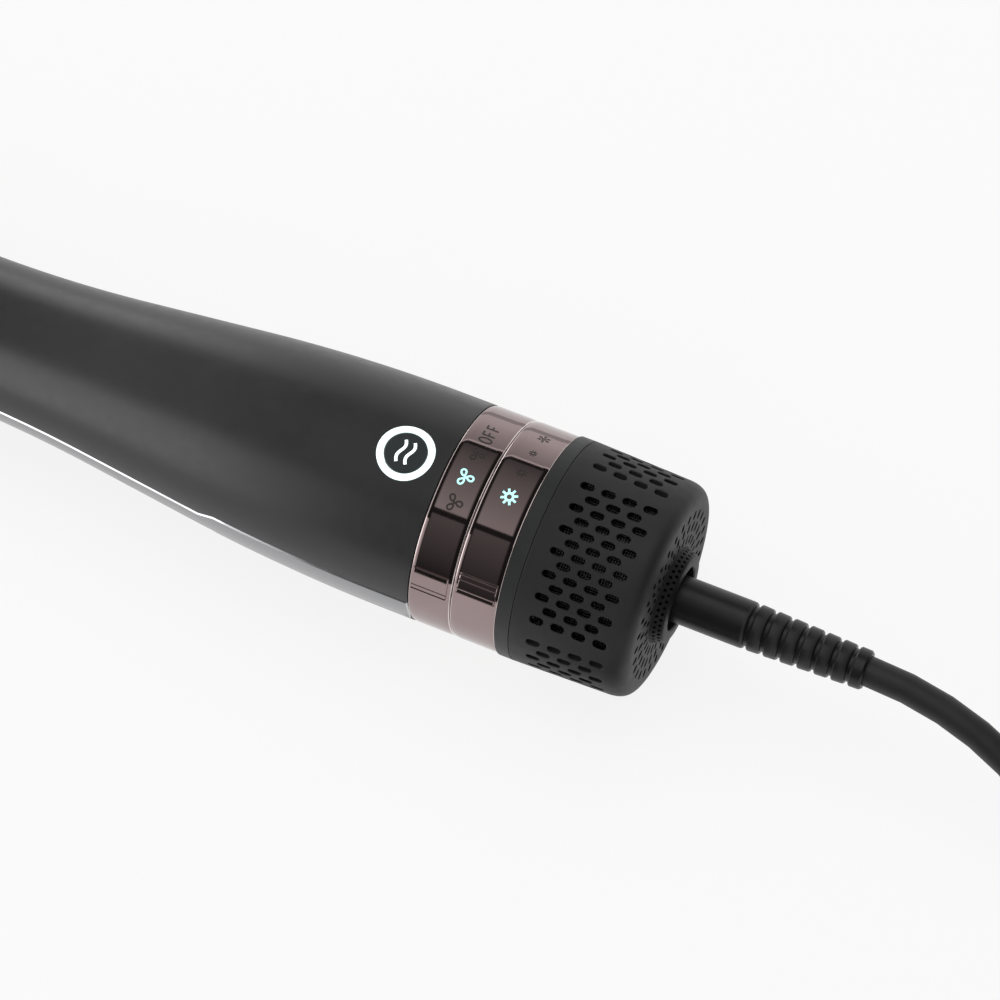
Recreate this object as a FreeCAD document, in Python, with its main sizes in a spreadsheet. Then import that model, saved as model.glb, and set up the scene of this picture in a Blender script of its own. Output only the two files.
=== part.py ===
import FreeCAD, Part
import math
import os
import re

import Sketcher

# Corded hot-air styling brush, in millimetres.
#
# Each piece is drawn about the brush's own axis, with x = 0 at the seam between the handle and the speed
# ring, +X towards the cord and +Z through the ion button. Its last Placement then lays the brush down: the
# origin is under the middle of the brush, at the level of the surface it lies on.

Vector = FreeCAD.Vector
Rotation = FreeCAD.Rotation
Placement = FreeCAD.Placement

X_AXIS = Vector(1, 0, 0)
ALONG_X = Rotation(Vector(0, 1, 0), 90)

# ---------------------------------------------------------------------------------------------------------
# Driving sizes: alias, value and meaning. Lengths are in millimetres and angles in degrees.
# ---------------------------------------------------------------------------------------------------------
SIZES = [
    # handle
    ("ring_radius", 26.0, "handle's rear end and both dial rings"),
    ("handle_length", 126.0, "handle shells, seam to neck"),
    ("handle_straight", 8.0, "cylindrical stretch beside the rings"),
    ("belly_end", 56.0, "where the rounded belly runs into the straight taper"),
    ("taper_end", 86.0, "where the straight taper runs into the neck"),
    ("taper_angle", 6.45, "slope of the straight taper"),
    ("shell_wall", 2.2, "handle shell's wall"),
    ("rib_thickness", 1.6, "ribs that hold the fan housing"),
    ("fit_gap", 0.15, "gap round a piece that is seated in another"),
    # side trims
    ("plaque_length", 49.6, "broad stretch of a side trim"),
    ("plaque_width", 9.2, "width of the broad stretch"),
    ("trim_step", 4.0, "length of the slanting step"),
    ("tail_width", 6.0, "width of the tail"),
    ("tail_margin", 6.0, "from the tail's end to the neck"),
    ("trim_depth", 0.9, "how deep a trim lies in the shells"),
    ("trim_proud", 0.2, "how far a trim stands out of the shells"),
    # ion button
    ("button_place", 9.7, "button's centre, forward of the seam"),
    ("light_outer_radius", 6.6, "lit ring's outside"),
    ("light_inner_radius", 4.75, "lit ring's inside"),
    ("light_depth", 4.4, "lit ring's length into the handle"),
    ("button_clearance", 0.15, "running gap round the button"),
    ("button_travel", 0.8, "how far the button can be pressed"),
    ("switch_height", 3.4, "tact switch's case"),
    ("switch_width", 6.0, "tact switch's side"),
    ("nub_height", 0.6, "tact switch's nub"),
    ("nub_radius", 1.7, "tact switch's nub"),
    # dial rings and their carrier
    ("ring_gap", 0.15, "running gap beside each ring"),
    ("speed_ring_length", 9.8, "speed ring along the axis"),
    ("heat_ring_length", 10.6, "heat ring along the axis"),
    ("ring_wall", 2.1, "ring's thickness"),
    ("ring_clearance", 0.25, "radial running gap under a ring"),
    ("flange_thickness", 0.45, "carrier's flange between the rings"),
    ("flange_drop", 0.8, "flange's edge below the rings' surface"),
    ("grip_height", 0.5, "raised grips on the rings"),
    ("grip_margin", 0.7, "from a grip to its ring's edges"),
    ("speed_grip_arc", 13.0, "grip's width on the speed ring"),
    ("heat_grip_arc", 12.0, "grip's width on the heat ring"),
    ("speed_grip_turn", 59.0, "speed ring's grips, from the button line"),
    ("heat_grip_turn", 52.0, "heat ring's grips, from the button line"),
    ("carrier_wall", 2.4, "carrier's wall"),
    ("carrier_reach", 2.8, "carrier's spigot in the handle"),
    ("lug_length", 4.0, "ring's lug along the axis"),
    ("lug_width", 4.0, "ring's lug round the axis"),
    ("lug_inner_radius", 18.5, "lug's inner end"),
    ("lug_bite", 0.5, "lug's root in its ring"),
    ("window_gap", 0.3, "window past the lug, at each end of its travel"),
    ("speed_back_turn", 15.0, "speed ring's travel to the fastest setting"),
    ("speed_off_turn", 30.0, "speed ring's travel to off"),
    ("heat_cool_turn", 45.0, "heat ring's travel to the coolest setting"),
    ("wiper_width", 2.4, "wiper contact"),
    ("wiper_depth", 1.6, "wiper contact, radially"),
    ("contact_gap", 0.3, "wiper's tip to the selector board"),
    ("detent_radius", 1.2, "detent pin"),
    ("board_thickness", 1.6, "both circuit boards"),
    ("selector_hole_radius", 15.0, "selector board's hole"),
    # rear frame and swivel
    ("band_radius", 26.28, "black band behind the rings"),
    ("band_length", 3.3, "black band along the axis"),
    ("frame_hole_radius", 20.4, "frame's air opening"),
    ("spigot_length", 3.5, "frame's spigot in the cap"),
    ("spigot_gap", 0.25, "gap between the spigot and the cap"),
    ("hub_radius", 7.0, "frame's hub round the cord sleeve"),
    ("hub_reach", 26.0, "hub past the band"),
    ("spoke_width", 2.2, "frame's three spokes"),
    ("sleeve_radius", 5.5, "cord sleeve"),
    ("sleeve_clearance", 0.3, "running gap round the cord sleeve"),
    ("sleeve_start", 4.5, "sleeve's inner end, behind the band's front"),
    ("sleeve_straight", 47.3, "sleeve's straight stretch past the band"),
    ("sleeve_taper", 28.0, "sleeve's tapered stretch"),
    ("sleeve_end_radius", 4.6, "sleeve's thin end"),
    ("bush_place", 5.0, "swivel bush, past the band"),
    ("bush_length", 3.0, "swivel bush along the axis"),
    ("neck_depth", 1.1, "groove in the sleeve for the bush"),
    ("screw_radius", 0.75, "frame screws"),
    ("screw_length", 10.0, "frame screws"),
    ("screw_head_radius", 1.4, "frame screws' heads"),
    ("screw_head_height", 1.1, "frame screws' heads"),
    # filter cap
    ("cap_seam", 0.1, "seam between the band and the cap"),
    ("cap_wall", 2.0, "cap's wall"),
    ("cap_straight", 22.8, "cap's slotted wall along the axis"),
    ("cap_shoulder_radius", 25.6, "cap's wall where the corner starts"),
    ("cap_corner", 2.6, "first facet of the corner, along the axis"),
    ("cap_corner_radius", 24.5, "corner's middle"),
    ("cap_face", 2.2, "second facet of the corner, along the axis"),
    ("cap_face_radius", 21.4, "edge of the end face"),
    ("boss_radius", 11.4, "boss in the middle of the end face"),
    ("boss_top_radius", 10.4, "boss's end"),
    ("boss_height", 2.9, "boss's height"),
    ("cord_hole_radius", 7.6, "recess that the cord sleeve comes out of"),
    ("panel_turn", 19.4, "first slotted panel, from the button line"),
    ("row_pitch", 2.62, "slot rows, across a panel"),
    ("slot_pitch", 5.0, "slots along a row"),
    ("slot_length", 3.2, "slot along the axis"),
    ("slot_width", 1.85, "slot across"),
    ("slot_start", 5.95, "first slot's centre, past the band"),
    ("petal_inner_radius", 12.9, "end slots' inner ends"),
    ("petal_middle_radius", 16.4, "between the two rings of end slots"),
    ("petal_outer_radius", 19.9, "end slots' outer ends"),
    ("petal_width", 1.2, "end slots across"),
    ("petal_bridge", 0.8, "web between the two rings of end slots"),
    ("screen_gap", 0.2, "gap between the filter screen and the cap"),
    ("screen_thickness", 0.5, "filter screen"),
    # fan, motor and heater
    ("fan_radius", 18.0, "impeller over its blades"),
    ("fan_gap", 0.6, "gap round the impeller"),
    ("fan_hub_radius", 7.5, "impeller's hub"),
    ("fan_hub_length", 8.0, "impeller's hub"),
    ("fan_place", 34.0, "impeller's rear face, forward of the seam"),
    ("blade_chord", 9.0, "blade along the flow"),
    ("blade_sweep", 5.0, "blade's ends, across the flow"),
    ("blade_thickness", 0.9, "impeller blade"),
    ("housing_start", 30.0, "fan housing's rear edge"),
    ("housing_length", 30.0, "fan housing"),
    ("housing_wall", 0.9, "fan housing's wall"),
    ("vane_length", 10.0, "guide vanes"),
    ("vane_thickness", 1.2, "guide vanes"),
    ("motor_radius", 11.5, "motor"),
    ("motor_length", 22.0, "motor"),
    ("motor_gap", 2.0, "between the impeller and the motor"),
    ("shaft_radius", 1.5, "motor shaft"),
    ("liner_radius", 15.2, "heater liner's outside"),
    ("liner_wall", 0.6, "heater liner's wall"),
    ("liner_flange", 1.5, "heater liner's rear flange"),
    ("liner_reach", 3.0, "liner's front end in the collar"),
    ("mica_start", 70.0, "mica frame's rear edge"),
    ("mica_end", 122.0, "mica frame's front edge"),
    ("mica_thickness", 1.0, "mica plates"),
    ("mica_tab", 4.0, "mica plates' end tabs, along the axis"),
    ("coil_apothem", 12.4, "mica plates' edges, under the coil"),
    ("coil_wire", 1.1, "heating coil's winding"),
    ("coil_pitch", 7.0, "heating coil's turns"),
    ("fuse_radius", 1.6, "thermal fuse"),
    ("fuse_length", 9.0, "thermal fuse"),
    ("emitter_radius", 2.4, "ion emitter's base"),
    ("emitter_base", 3.0, "ion emitter's base"),
    ("needle_length", 7.0, "ion emitter's needle"),
    ("needle_radius", 0.6, "ion emitter's needle"),
    # boards in the handle
    ("board_level", 14.0, "circuit board's underside, above the axis"),
    ("board_front", 26.0, "circuit board's front edge"),
    ("board_rear", 3.0, "circuit board's rear edge, behind the seam"),
    ("post_width", 3.0, "board posts"),
    ("post_spread", 8.0, "board posts, from the middle"),
    ("generator_length", 17.0, "ion generator"),
    ("generator_width", 14.0, "ion generator"),
    ("generator_height", 5.0, "ion generator"),
    ("generator_rear", 9.0, "ion generator's rear face"),
    # brush head
    ("collar_length", 16.0, "neck collar"),
    ("barrel_length", 126.0, "vented barrel"),
    ("barrel_half_width", 27.0, "barrel's section"),
    ("barrel_half_height", 17.5, "barrel's section"),
    ("barrel_side_radius", 11.0, "barrel's section, at its narrow sides"),
    ("barrel_wall", 1.5, "barrel's wall"),
    ("vent_length", 11.0, "vents along the barrel"),
    ("vent_width", 2.4, "vents across"),
    ("vent_pitch", 16.0, "vents along the barrel"),
    ("rail_width", 3.0, "bristle strip's rail"),
    ("rail_height", 1.0, "bristle strip's rail"),
    ("rail_margin", 4.0, "from a rail's ends to the barrel's"),
    ("rail_gap", 0.05, "rail above the barrel's wall"),
    ("pin_root", 0.8, "bristle's half width at its root"),
    ("pin_tip", 0.42, "bristle's half width at its tip"),
    ("pin_margin", 4.0, "from the end bristles to a rail's ends"),
    ("tip_length", 24.0, "cool tip"),
    ("tip_draft", 13.0, "cool tip's taper"),
    ("tip_bevel", 2.6, "cool tip's front edge"),
    ("tip_spigot", 6.0, "cool tip's spigot in the barrel"),
    # cord and plug
    ("cord_radius", 3.5, "cord"),
    ("coil_turn_radius", 38.0, "middle of the coil's turns"),
    ("coil_half_width", 10.5, "coil's section"),
    ("coil_height", 14.0, "coil's section"),
    ("tail_stub", 28.0, "straight end beside the plug"),
    ("coil_away", 130.0, "coil's middle, past the sleeve's end"),
    ("lead_aside", 30.0, "how far the lead swings aside on its way to the coil"),
    ("tie_width", 8.0, "strap round the coil"),
    ("tie_thickness", 0.8, "strap round the coil"),
    ("plug_relief_length", 14.0, "plug's strain relief"),
    ("plug_length", 30.0, "plug's body"),
    ("plug_half_width", 17.5, "plug's body"),
    ("plug_corner", 6.0, "plug body's tapered corners"),
    ("pin_length", 19.0, "plug pins"),
    ("pin_radius", 2.4, "plug pins"),
    ("pin_spacing", 19.0, "plug pins, centre to centre"),
]

# Sizes that follow from the driving ones.
WORKED = [
    ("shell_radius", "ring_radius - shell_wall"),
    ("belly_radius", "(belly_end - handle_straight) / sin(taper_angle)"),
    ("belly_end_radius", "ring_radius - belly_radius * (1 - cos(taper_angle))"),
    ("taper_end_radius", "belly_end_radius - (taper_end - belly_end) * tan(taper_angle)"),
    ("neck_arc_radius", "(handle_length - taper_end) / sin(taper_angle)"),
    ("neck_radius", "taper_end_radius - neck_arc_radius * (1 - cos(taper_angle))"),
    ("inner_slope", "(shell_radius - belly_end_radius + shell_wall) / (belly_end - handle_straight)"),
    ("speed_start", "ring_gap"),
    ("speed_end", "speed_start + speed_ring_length"),
    ("flange_start", "speed_end + ring_gap"),
    ("flange_end", "flange_start + flange_thickness"),
    ("heat_start", "flange_end + ring_gap"),
    ("heat_end", "heat_start + heat_ring_length"),
    ("band_start", "heat_end + ring_gap"),
    ("band_end", "band_start + band_length"),
    ("ring_inner_radius", "ring_radius - ring_wall"),
    ("carrier_radius", "ring_inner_radius - ring_clearance"),
    ("carrier_inner_radius", "carrier_radius - carrier_wall"),
    ("speed_middle", "speed_start + speed_ring_length / 2"),
    ("heat_middle", "heat_start + heat_ring_length / 2"),
    ("selector_front", "(flange_start + flange_end - board_thickness) / 2"),
    ("selector_rear", "selector_front + board_thickness"),
    ("cap_start", "band_end + cap_seam"),
    ("cap_shoulder", "cap_start + cap_straight"),
    ("cap_corner_place", "cap_shoulder + cap_corner"),
    ("cap_end", "cap_corner_place + cap_face"),
    ("boss_end", "cap_end + boss_height"),
    ("spigot_radius", "band_radius - cap_wall - spigot_gap"),
    ("sleeve_bore_radius", "sleeve_radius + sleeve_clearance"),
    ("sleeve_inner_end", "band_start + sleeve_start"),
    ("sleeve_straight_end", "band_end + sleeve_straight"),
    ("sleeve_end", "sleeve_straight_end + sleeve_taper"),
    ("bush_start", "band_end + bush_place"),
    ("bush_end", "bush_start + bush_length"),
    ("bush_inner_radius", "sleeve_radius - neck_depth + sleeve_clearance"),
    ("screen_radius", "cap_shoulder_radius - cap_wall - screen_gap"),
    ("housing_inner_radius", "fan_radius + fan_gap"),
    ("housing_radius", "housing_inner_radius + housing_wall"),
    ("housing_end", "housing_start + housing_length"),
    ("motor_start", "fan_place + fan_hub_length + motor_gap"),
    ("motor_end", "motor_start + motor_length"),
    ("sleeve_wall_radius", "motor_radius + fit_gap"),
    ("board_top", "board_level + board_thickness"),
    ("board_half_width", "sqrt(carrier_inner_radius ^ 2 - board_top ^ 2) - fit_gap"),
    ("switch_top", "board_top + switch_height + nub_height"),
    ("button_bottom", "switch_top + button_travel + button_clearance"),
    ("button_radius", "light_inner_radius - button_clearance"),
    ("generator_front", "generator_rear + generator_length"),
    ("generator_shell", "shell_radius - (generator_front - handle_straight) * inner_slope - fit_gap"),
    ("generator_bottom", "sqrt(generator_shell ^ 2 - generator_width ^ 2 / 4)"),
    ("collar_end", "handle_length + collar_length"),
    ("barrel_end", "collar_end + barrel_length"),
    ("front_end", "barrel_end + tip_length"),
    ("side_center", "barrel_half_width - barrel_side_radius"),
    (
        "barrel_top_radius",
        "(side_center ^ 2 + barrel_half_height ^ 2 - barrel_side_radius ^ 2)"
        " / (2 * (barrel_half_height - barrel_side_radius))",
    ),
    ("barrel_top_drop", "barrel_top_radius - barrel_half_height"),
    ("junction_turn", "atan(side_center / barrel_top_drop)"),
    ("head_step", "2 * junction_turn / 9"),
    ("axis_height", "band_radius"),
    ("origin_shift", "(front_end - boss_end) / 2"),
    ("rail_seat", "barrel_top_radius * cos(head_step / 2) + rail_gap"),
    ("rail_length", "barrel_length - 2 * rail_margin"),
    (
        "pin_reach",
        "(axis_height + barrel_top_drop - pin_tip * sin(head_step)) / cos(head_step) - rail_seat",
    ),
    ("coil_outer_turn", "coil_turn_radius + coil_half_width - cord_radius"),
    ("coil_y", "coil_outer_turn - lead_aside"),
    ("plug_y", "coil_y + coil_outer_turn"),
    ("coil_x", "sleeve_end + coil_away"),
    ("plug_axis_height", "coil_height - cord_radius"),
    ("plug_start", "coil_x - tail_stub"),
    ("plug_body_start", "plug_start - plug_relief_length"),
    ("plug_body_end", "plug_body_start - plug_length"),
]

SLOT_ROWS = 13  # slot rows on each panel of the cap
SLOT_PANELS = 4
SLOTS_IN_LONG_ROW = 4
END_SLOTS = 18  # in each of the end face's two rings
SPOKES = 3
VANES = 6
BLADES = 9
HEATER_TURNS = 5
VENTS_IN_ROW = 7
PINS_IN_STRIP = 8
TOP_FLATS = 9  # flats on each wide side of the barrel
SIDE_FLATS = 7  # flats on each narrow side
LARGE_SIDES = 24  # sides of the large hidden round pieces
MID_SIDES = 16  # sides of the middling ones
SMALL_SIDES = 6  # sides of the small ones
CORD_SIDES = 8
HANDLE_SIDES = 40
TRIM_SIDES = 30  # one of their flats faces straight sideways

# The cord's route from the sleeve's end to the coil: along x, and the share of its way down to the surface
# that it lies on and aside to the coil's outer turn.
CORD_ROUTE = [
    (0.0, 0.0),
    (30.0, 0.0),
    (74.0, 1.0),
    (103.0, 1.0),
]

document = FreeCAD.newDocument("StylingBrush")
pieces = []
homes = {}


def fill_sheet(name, rows):
    """Makes one spreadsheet: a label, a cell with an alias, and a note on each row."""
    sheet = document.addObject("Spreadsheet::Sheet", name)
    for row, (alias, content, note) in enumerate(rows, start=1):
        sheet.set(f"A{row}", alias)
        sheet.set(f"B{row}", content)
        sheet.setAlias(f"B{row}", alias)
        sheet.set(f"C{row}", note)
        homes[alias] = name
    return sheet


def named(text):
    """Puts the sheet's name before each alias in an expression."""
    return re.sub(r"[a-z_]+", lambda m: f"{homes[m[0]]}.{m[0]}" if m[0] in homes else m[0], text)


sizes = fill_sheet("Sizes", [(alias, str(value), note) for alias, value, note in SIZES])
for alias, _ in WORKED:
    homes[alias] = "Worked"
worked = fill_sheet("Worked", [(alias, "=" + named(text), "") for alias, text in WORKED])
document.recompute()


def size(text):
    """An expression's value, as a plain number."""
    found = sizes.evalExpression(named(text))
    return float(found.Value if hasattr(found, "Value") else found)


# ---------------------------------------------------------------------------------------------------------
# Tools of the document
# ---------------------------------------------------------------------------------------------------------
def place(item, x="0", y="0", z="0", rotation=None):
    """Binds an object's place to the sheets."""
    item.Placement = Placement(Vector(size(x), size(y), size(z)), rotation or Rotation())
    for axis, text in zip("xyz", (x, y, z)):
        item.setExpression(f"Placement.Base.{axis}", named(text))
    return item


def finish(item, label, rotation=None):
    """Names a finished piece and lays it down with the rest of the brush."""
    item.Label = label
    place(item, "origin_shift", "0", "axis_height", rotation)
    pieces.append(item)
    return item


def turned(degrees):
    """A turn about the brush's axis."""
    return Rotation(X_AXIS, degrees)


def body(name):
    return document.addObject("PartDesign::Body", name)


def sketch_on(owner, role, name, offset=None, turn=0.0):
    """A sketch on one of the body's own planes, moved along its normal and turned about its first axis."""
    sketch = owner.newObject("Sketcher::SketchObject", name)
    support = next(plane for plane in owner.Origin.OriginFeatures if plane.Role == role)
    sketch.AttachmentSupport = [(support, "")]
    sketch.MapMode = "FlatFace"
    if offset is not None or turn:
        sketch.AttachmentOffset = Placement(Vector(0, 0, size(offset or "0")), Rotation(X_AXIS, turn))
    if offset is not None:
        sketch.setExpression("AttachmentOffset.Base.z", named(offset))
    return sketch


def line_between(first, last):
    return Part.LineSegment(first, last), (1, 2)


def arc_between(first, last, radius, side):
    """An arc from first to last with its centre on the left (side 1) or right (side -1) of the way."""
    chord = last - first
    reach = math.sqrt(radius * radius - chord.Length * chord.Length / 4)
    left = Vector(-chord.y, chord.x, 0).normalize()
    center = (first + last) * 0.5 + left * (reach * side)
    start, end = (first, last) if side > 0 else (last, first)
    angles = [math.atan2(point.y - center.y, point.x - center.x) for point in (start, end)]
    if angles[1] < angles[0]:
        angles[1] += 2 * math.pi
    circle = Part.Circle(center, Vector(0, 0, 1), radius)
    return Part.ArcOfCircle(circle, *angles), (1, 2) if side > 0 else (2, 1)


def outline(sketch, points):
    """Draws a closed outline and binds each corner. A corner is (x, y), or (x, y, radius, side) where the
    next stretch is an arc."""
    corners = [Vector(size(point[0]), size(point[1]), 0) for point in points]
    ends = []
    for index, point in enumerate(points):
        first, last = corners[index], corners[(index + 1) % len(points)]
        if len(point) == 2:
            geometry, order = line_between(first, last)
        else:
            geometry, order = arc_between(first, last, size(point[2]), point[3])
        ends.append((sketch.addGeometry(geometry, False), order))
    for index, (number, order) in enumerate(ends):
        following, next_order = ends[(index + 1) % len(ends)]
        sketch.addConstraint(Sketcher.Constraint("Coincident", number, order[1], following, next_order[0]))
    for (number, order), point, corner in zip(ends, points, corners):
        for kind, text, value in (("DistanceX", point[0], corner.x), ("DistanceY", point[1], corner.y)):
            row = sketch.addConstraint(Sketcher.Constraint(kind, -1, 1, number, order[0], value))
            sketch.setExpression(f"Constraints[{row}]", named(text))
        if len(point) > 2:
            row = sketch.addConstraint(Sketcher.Constraint("Radius", number, size(point[2])))
            sketch.setExpression(f"Constraints[{row}]", named(point[2]))
    return sketch


def ring_circle(sketch, radius, x="0", y="0"):
    """Draws a bound circle."""
    center = Vector(size(x), size(y), 0)
    number = sketch.addGeometry(Part.Circle(center, Vector(0, 0, 1), size(radius)), False)
    row = sketch.addConstraint(Sketcher.Constraint("Radius", number, size(radius)))
    sketch.setExpression(f"Constraints[{row}]", named(radius))
    for kind, text, value in (("DistanceX", x, center.x), ("DistanceY", y, center.y)):
        row = sketch.addConstraint(Sketcher.Constraint(kind, -1, 1, number, 3, value))
        sketch.setExpression(f"Constraints[{row}]", named(text))
    return sketch


def revolve(owner, sketch, degrees="360", both_ways=False, cut=False):
    """Turns a sketch about the brush's axis, to add to the body or to cut it."""
    kind = "Groove" if cut else "Revolution"
    feature = owner.newObject(f"PartDesign::{kind}", f"{sketch.Name}_{kind}")
    feature.Profile = sketch
    feature.ReferenceAxis = (sketch, ["H_Axis"])
    feature.Midplane = both_ways
    feature.Angle = size(degrees)
    feature.setExpression("Angle", named(degrees))
    return feature


def pad(owner, sketch, length, reversed_way=False, both_ways=False, taper=None, cut=False):
    """Pushes a sketch out along its normal, to add to the body or to cut it."""
    kind = "Pocket" if cut else "Pad"
    feature = owner.newObject(f"PartDesign::{kind}", f"{sketch.Name}_{kind}")
    feature.Profile = sketch
    feature.Length = size(length)
    feature.setExpression("Length", named(length))
    feature.Reversed = reversed_way
    if both_ways:
        feature.SideType = "Symmetric"
    if taper is not None:
        feature.TaperAngle = size(taper)
        feature.setExpression("TaperAngle", named(taper))
    return feature


def box(name, length, width, height, x, y, z, turn=0.0):
    """A box by the middle of its width and by its low x and z, then turned about the brush's axis."""
    item = document.addObject("Part::Box", name)
    for side, text in (("Length", length), ("Width", width), ("Height", height)):
        setattr(item, side, size(text))
        item.setExpression(side, named(text))
    low = f"({y} - ({width}) / 2)"
    across, along = math.cos(math.radians(turn)), math.sin(math.radians(turn))
    return place(
        item, x, f"{low} * {across:.9f} - ({z}) * {along:.9f}", f"{low} * {along:.9f} + ({z}) * {across:.9f}",
        turned(turn),
    )


def rod(name, radius, start, end, sides=None, hole=False, y="0", z="0"):
    """A round rod along the axis, or one with flat sides. A hole's flats lie at the radius, so that what
    is inside clears them."""
    kind = "Part::Prism" if sides else "Part::Cylinder"
    item = document.addObject(kind, name)
    text = f"({radius}) / cos(180 / {sides})" if sides and hole else radius
    if sides:
        item.Polygon = sides
    prop = "Circumradius" if sides else "Radius"
    setattr(item, prop, size(text))
    item.setExpression(prop, named(text))
    item.Height = size(f"({end}) - ({start})")
    item.setExpression("Height", named(f"({end}) - ({start})"))
    return place(item, start, y, z, ALONG_X)


def cut(name, base, tool):
    item = document.addObject("Part::Cut", name)
    item.Base = base
    item.Tool = tool
    item.Refine = False
    return item


def common(name, base, tool):
    item = document.addObject("Part::Common", name)
    item.Base = base
    item.Tool = tool
    item.Refine = False
    return item


def fuse(name, parts):
    item = document.addObject("Part::MultiFuse", name)
    item.Shapes = parts
    item.Refine = False
    return item


def tube(name, outer, inner, start, end, sides=None):
    """A tube along the axis."""
    shell = rod(f"{name}_outside", outer, start, end, sides)
    bore = rod(f"{name}_bore", inner, start, end, sides, hole=True)
    return cut(name, shell, bore)


def lofted(name, stations, sides, hole=False):
    """A solid with flat sides through round sections, each at its own x and radius."""
    sections = []
    for number, (x, radius) in enumerate(stations):
        text = f"({radius}) / cos(180 / {sides})" if hole else radius
        section = document.addObject("Part::RegularPolygon", f"{name}_{number}")
        section.Polygon = sides
        section.Circumradius = size(text)
        section.setExpression("Circumradius", named(text))
        sections.append(place(section, x, rotation=ALONG_X))
    loft = document.addObject("Part::Loft", name)
    loft.Sections = sections
    loft.Solid = True
    loft.Ruled = True
    return loft


def free_shape(name, shape):
    """An object that holds a shape worked out from the sheets."""
    item = document.addObject("Part::Feature", name)
    item.Shape = shape
    return item


def prism_from(points, direction):
    """A straight prism on a flat polygon."""
    return Part.Face(Part.makePolygon(points + points[:1])).extrude(direction)


# ---------------------------------------------------------------------------------------------------------
# Handle
# ---------------------------------------------------------------------------------------------------------
def handle_line(offset):
    """The handle's profile from the seam to the neck, moved outwards by an offset. The belly is an arc
    that runs into the straight taper, and the neck is a hollow arc."""
    belly = "(belly_end - handle_straight)"
    neck = "(handle_length - taper_end)"
    stations = [("0", "ring_radius"), ("-handle_straight", "ring_radius")]
    for share in (1 / 3, 2 / 3):
        run = f"{belly} * {share:.6f}"
        drop = f"belly_radius - sqrt(belly_radius ^ 2 - ({run}) ^ 2)"
        stations.append((f"-handle_straight - {run}", f"ring_radius - ({drop})"))
    stations += [("-belly_end", "belly_end_radius"), ("-taper_end", "taper_end_radius")]
    for share in (2 / 3, 1 / 3):
        run = f"{neck} * {share:.6f}"
        rise = f"neck_arc_radius - sqrt(neck_arc_radius ^ 2 - ({run}) ^ 2)"
        stations.append((f"-handle_length + {run}", f"neck_radius + {rise}"))
    stations.append(("-handle_length", "neck_radius"))
    return [(x, f"{radius} + ({offset})") for x, radius in stations]


def handle_core():
    """The handle's hollow."""
    stations = [
        ("1", "shell_radius"),
        ("-handle_straight", "shell_radius"),
        ("-belly_end", "belly_end_radius - shell_wall"),
        ("-taper_end", "taper_end_radius - shell_wall"),
        ("-handle_length - 1", "neck_radius - shell_wall"),
    ]
    return lofted("handle_core", stations, MID_SIDES, hole=True)


def handle_shell(name, label, hollow, flip, is_upper):
    """Half of the handle: a shell with two ribs for the fan housing and, in the upper one, the button's
    hole and two posts for the circuit board."""
    reach = "housing_radius + fit_gap"
    held = [
        box(f"{name}_rib_{side + 1}", "belly_end - housing_start", "rib_thickness",
            f"belly_end_radius - 0.4 - ({reach})", "-belly_end", "0", reach, 45.0 * side)
        for side in (-1, 1)
    ]
    if is_upper:
        held += [
            box(f"{name}_post_{side + 1}", "post_width", "post_width",
                "sqrt((shell_radius + shell_wall / 4) ^ 2 - post_spread ^ 2) - board_top",
                "-board_front", f"{side} * post_spread", "board_top")
            for side in (-1, 1)
        ]
    tools = [trim_solid(f"{name}_recess_{end}", "fit_gap", "trim_proud", end) for end in (0, 180)]
    if is_upper:
        hole = document.addObject("Part::Cylinder", f"{name}_button_hole")
        hole.setExpression("Radius", named("light_outer_radius + fit_gap"))
        hole.setExpression("Height", named("ring_radius + 5"))
        tools.append(place(hole, "-button_place"))
    solid = fuse(f"{name}_ribbed", [hollow] + held)
    whole = cut(f"{name}_whole", solid, fuse(f"{name}_cuts", tools))
    side = box(f"{name}_side", "handle_length + 2", "2 * ring_radius + 2", "ring_radius + 2",
               "-handle_length - 1", "0", "0")
    return finish(common(f"{name}_piece", whole, side), label, turned(flip))


def trim_solid(name, margin, proud, flip):
    """A side trim on the +Y side, grown by a margin. It follows the handle's surface, and its outline
    steps from the broad plaque down to the narrow tail."""
    outside = lofted(f"{name}_outside", handle_line(f"{proud} + {margin}"), TRIM_SIDES, hole=True)
    inside = lofted(f"{name}_inside", handle_line(f"0 - trim_depth - ({margin})"), TRIM_SIDES, hole=True)
    shape = body(f"{name}_outline")
    flat = sketch_on(shape, "XZ_Plane", f"{name}_edges")
    broad = f"plaque_width / 2 + {margin}"
    narrow = f"tail_width / 2 + {margin}"
    front = f"-handle_length + tail_margin - {margin}"
    outline(
        flat,
        [
            ("0", broad),
            ("-plaque_length", broad),
            ("-plaque_length - trim_step", narrow),
            (front, narrow),
            (front, f"-({narrow})"),
            ("-plaque_length - trim_step", f"-({narrow})"),
            ("-plaque_length", f"-({broad})"),
            ("0", f"-({broad})"),
        ],
    )
    pad(shape, flat, "2 * ring_radius", reversed_way=True)
    solid = cut(name, common(f"{name}_face", outside, shape), inside)
    if flip:
        place(solid, rotation=turned(flip))
    return solid


def build_handle():
    outside = lofted("handle_outside", handle_line("0"), HANDLE_SIDES)
    hollow = cut("handle_hollow", outside, handle_core())
    handle_shell("upper_half", "upper_handle_shell", hollow, 0, True)
    handle_shell("lower_half", "lower_handle_shell", hollow, 180, False)
    finish(trim_solid("left_trim", "0", "trim_proud", 0), "left_side_trim")
    finish(trim_solid("right_trim", "0", "trim_proud", 0), "right_side_trim", turned(180))


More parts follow.
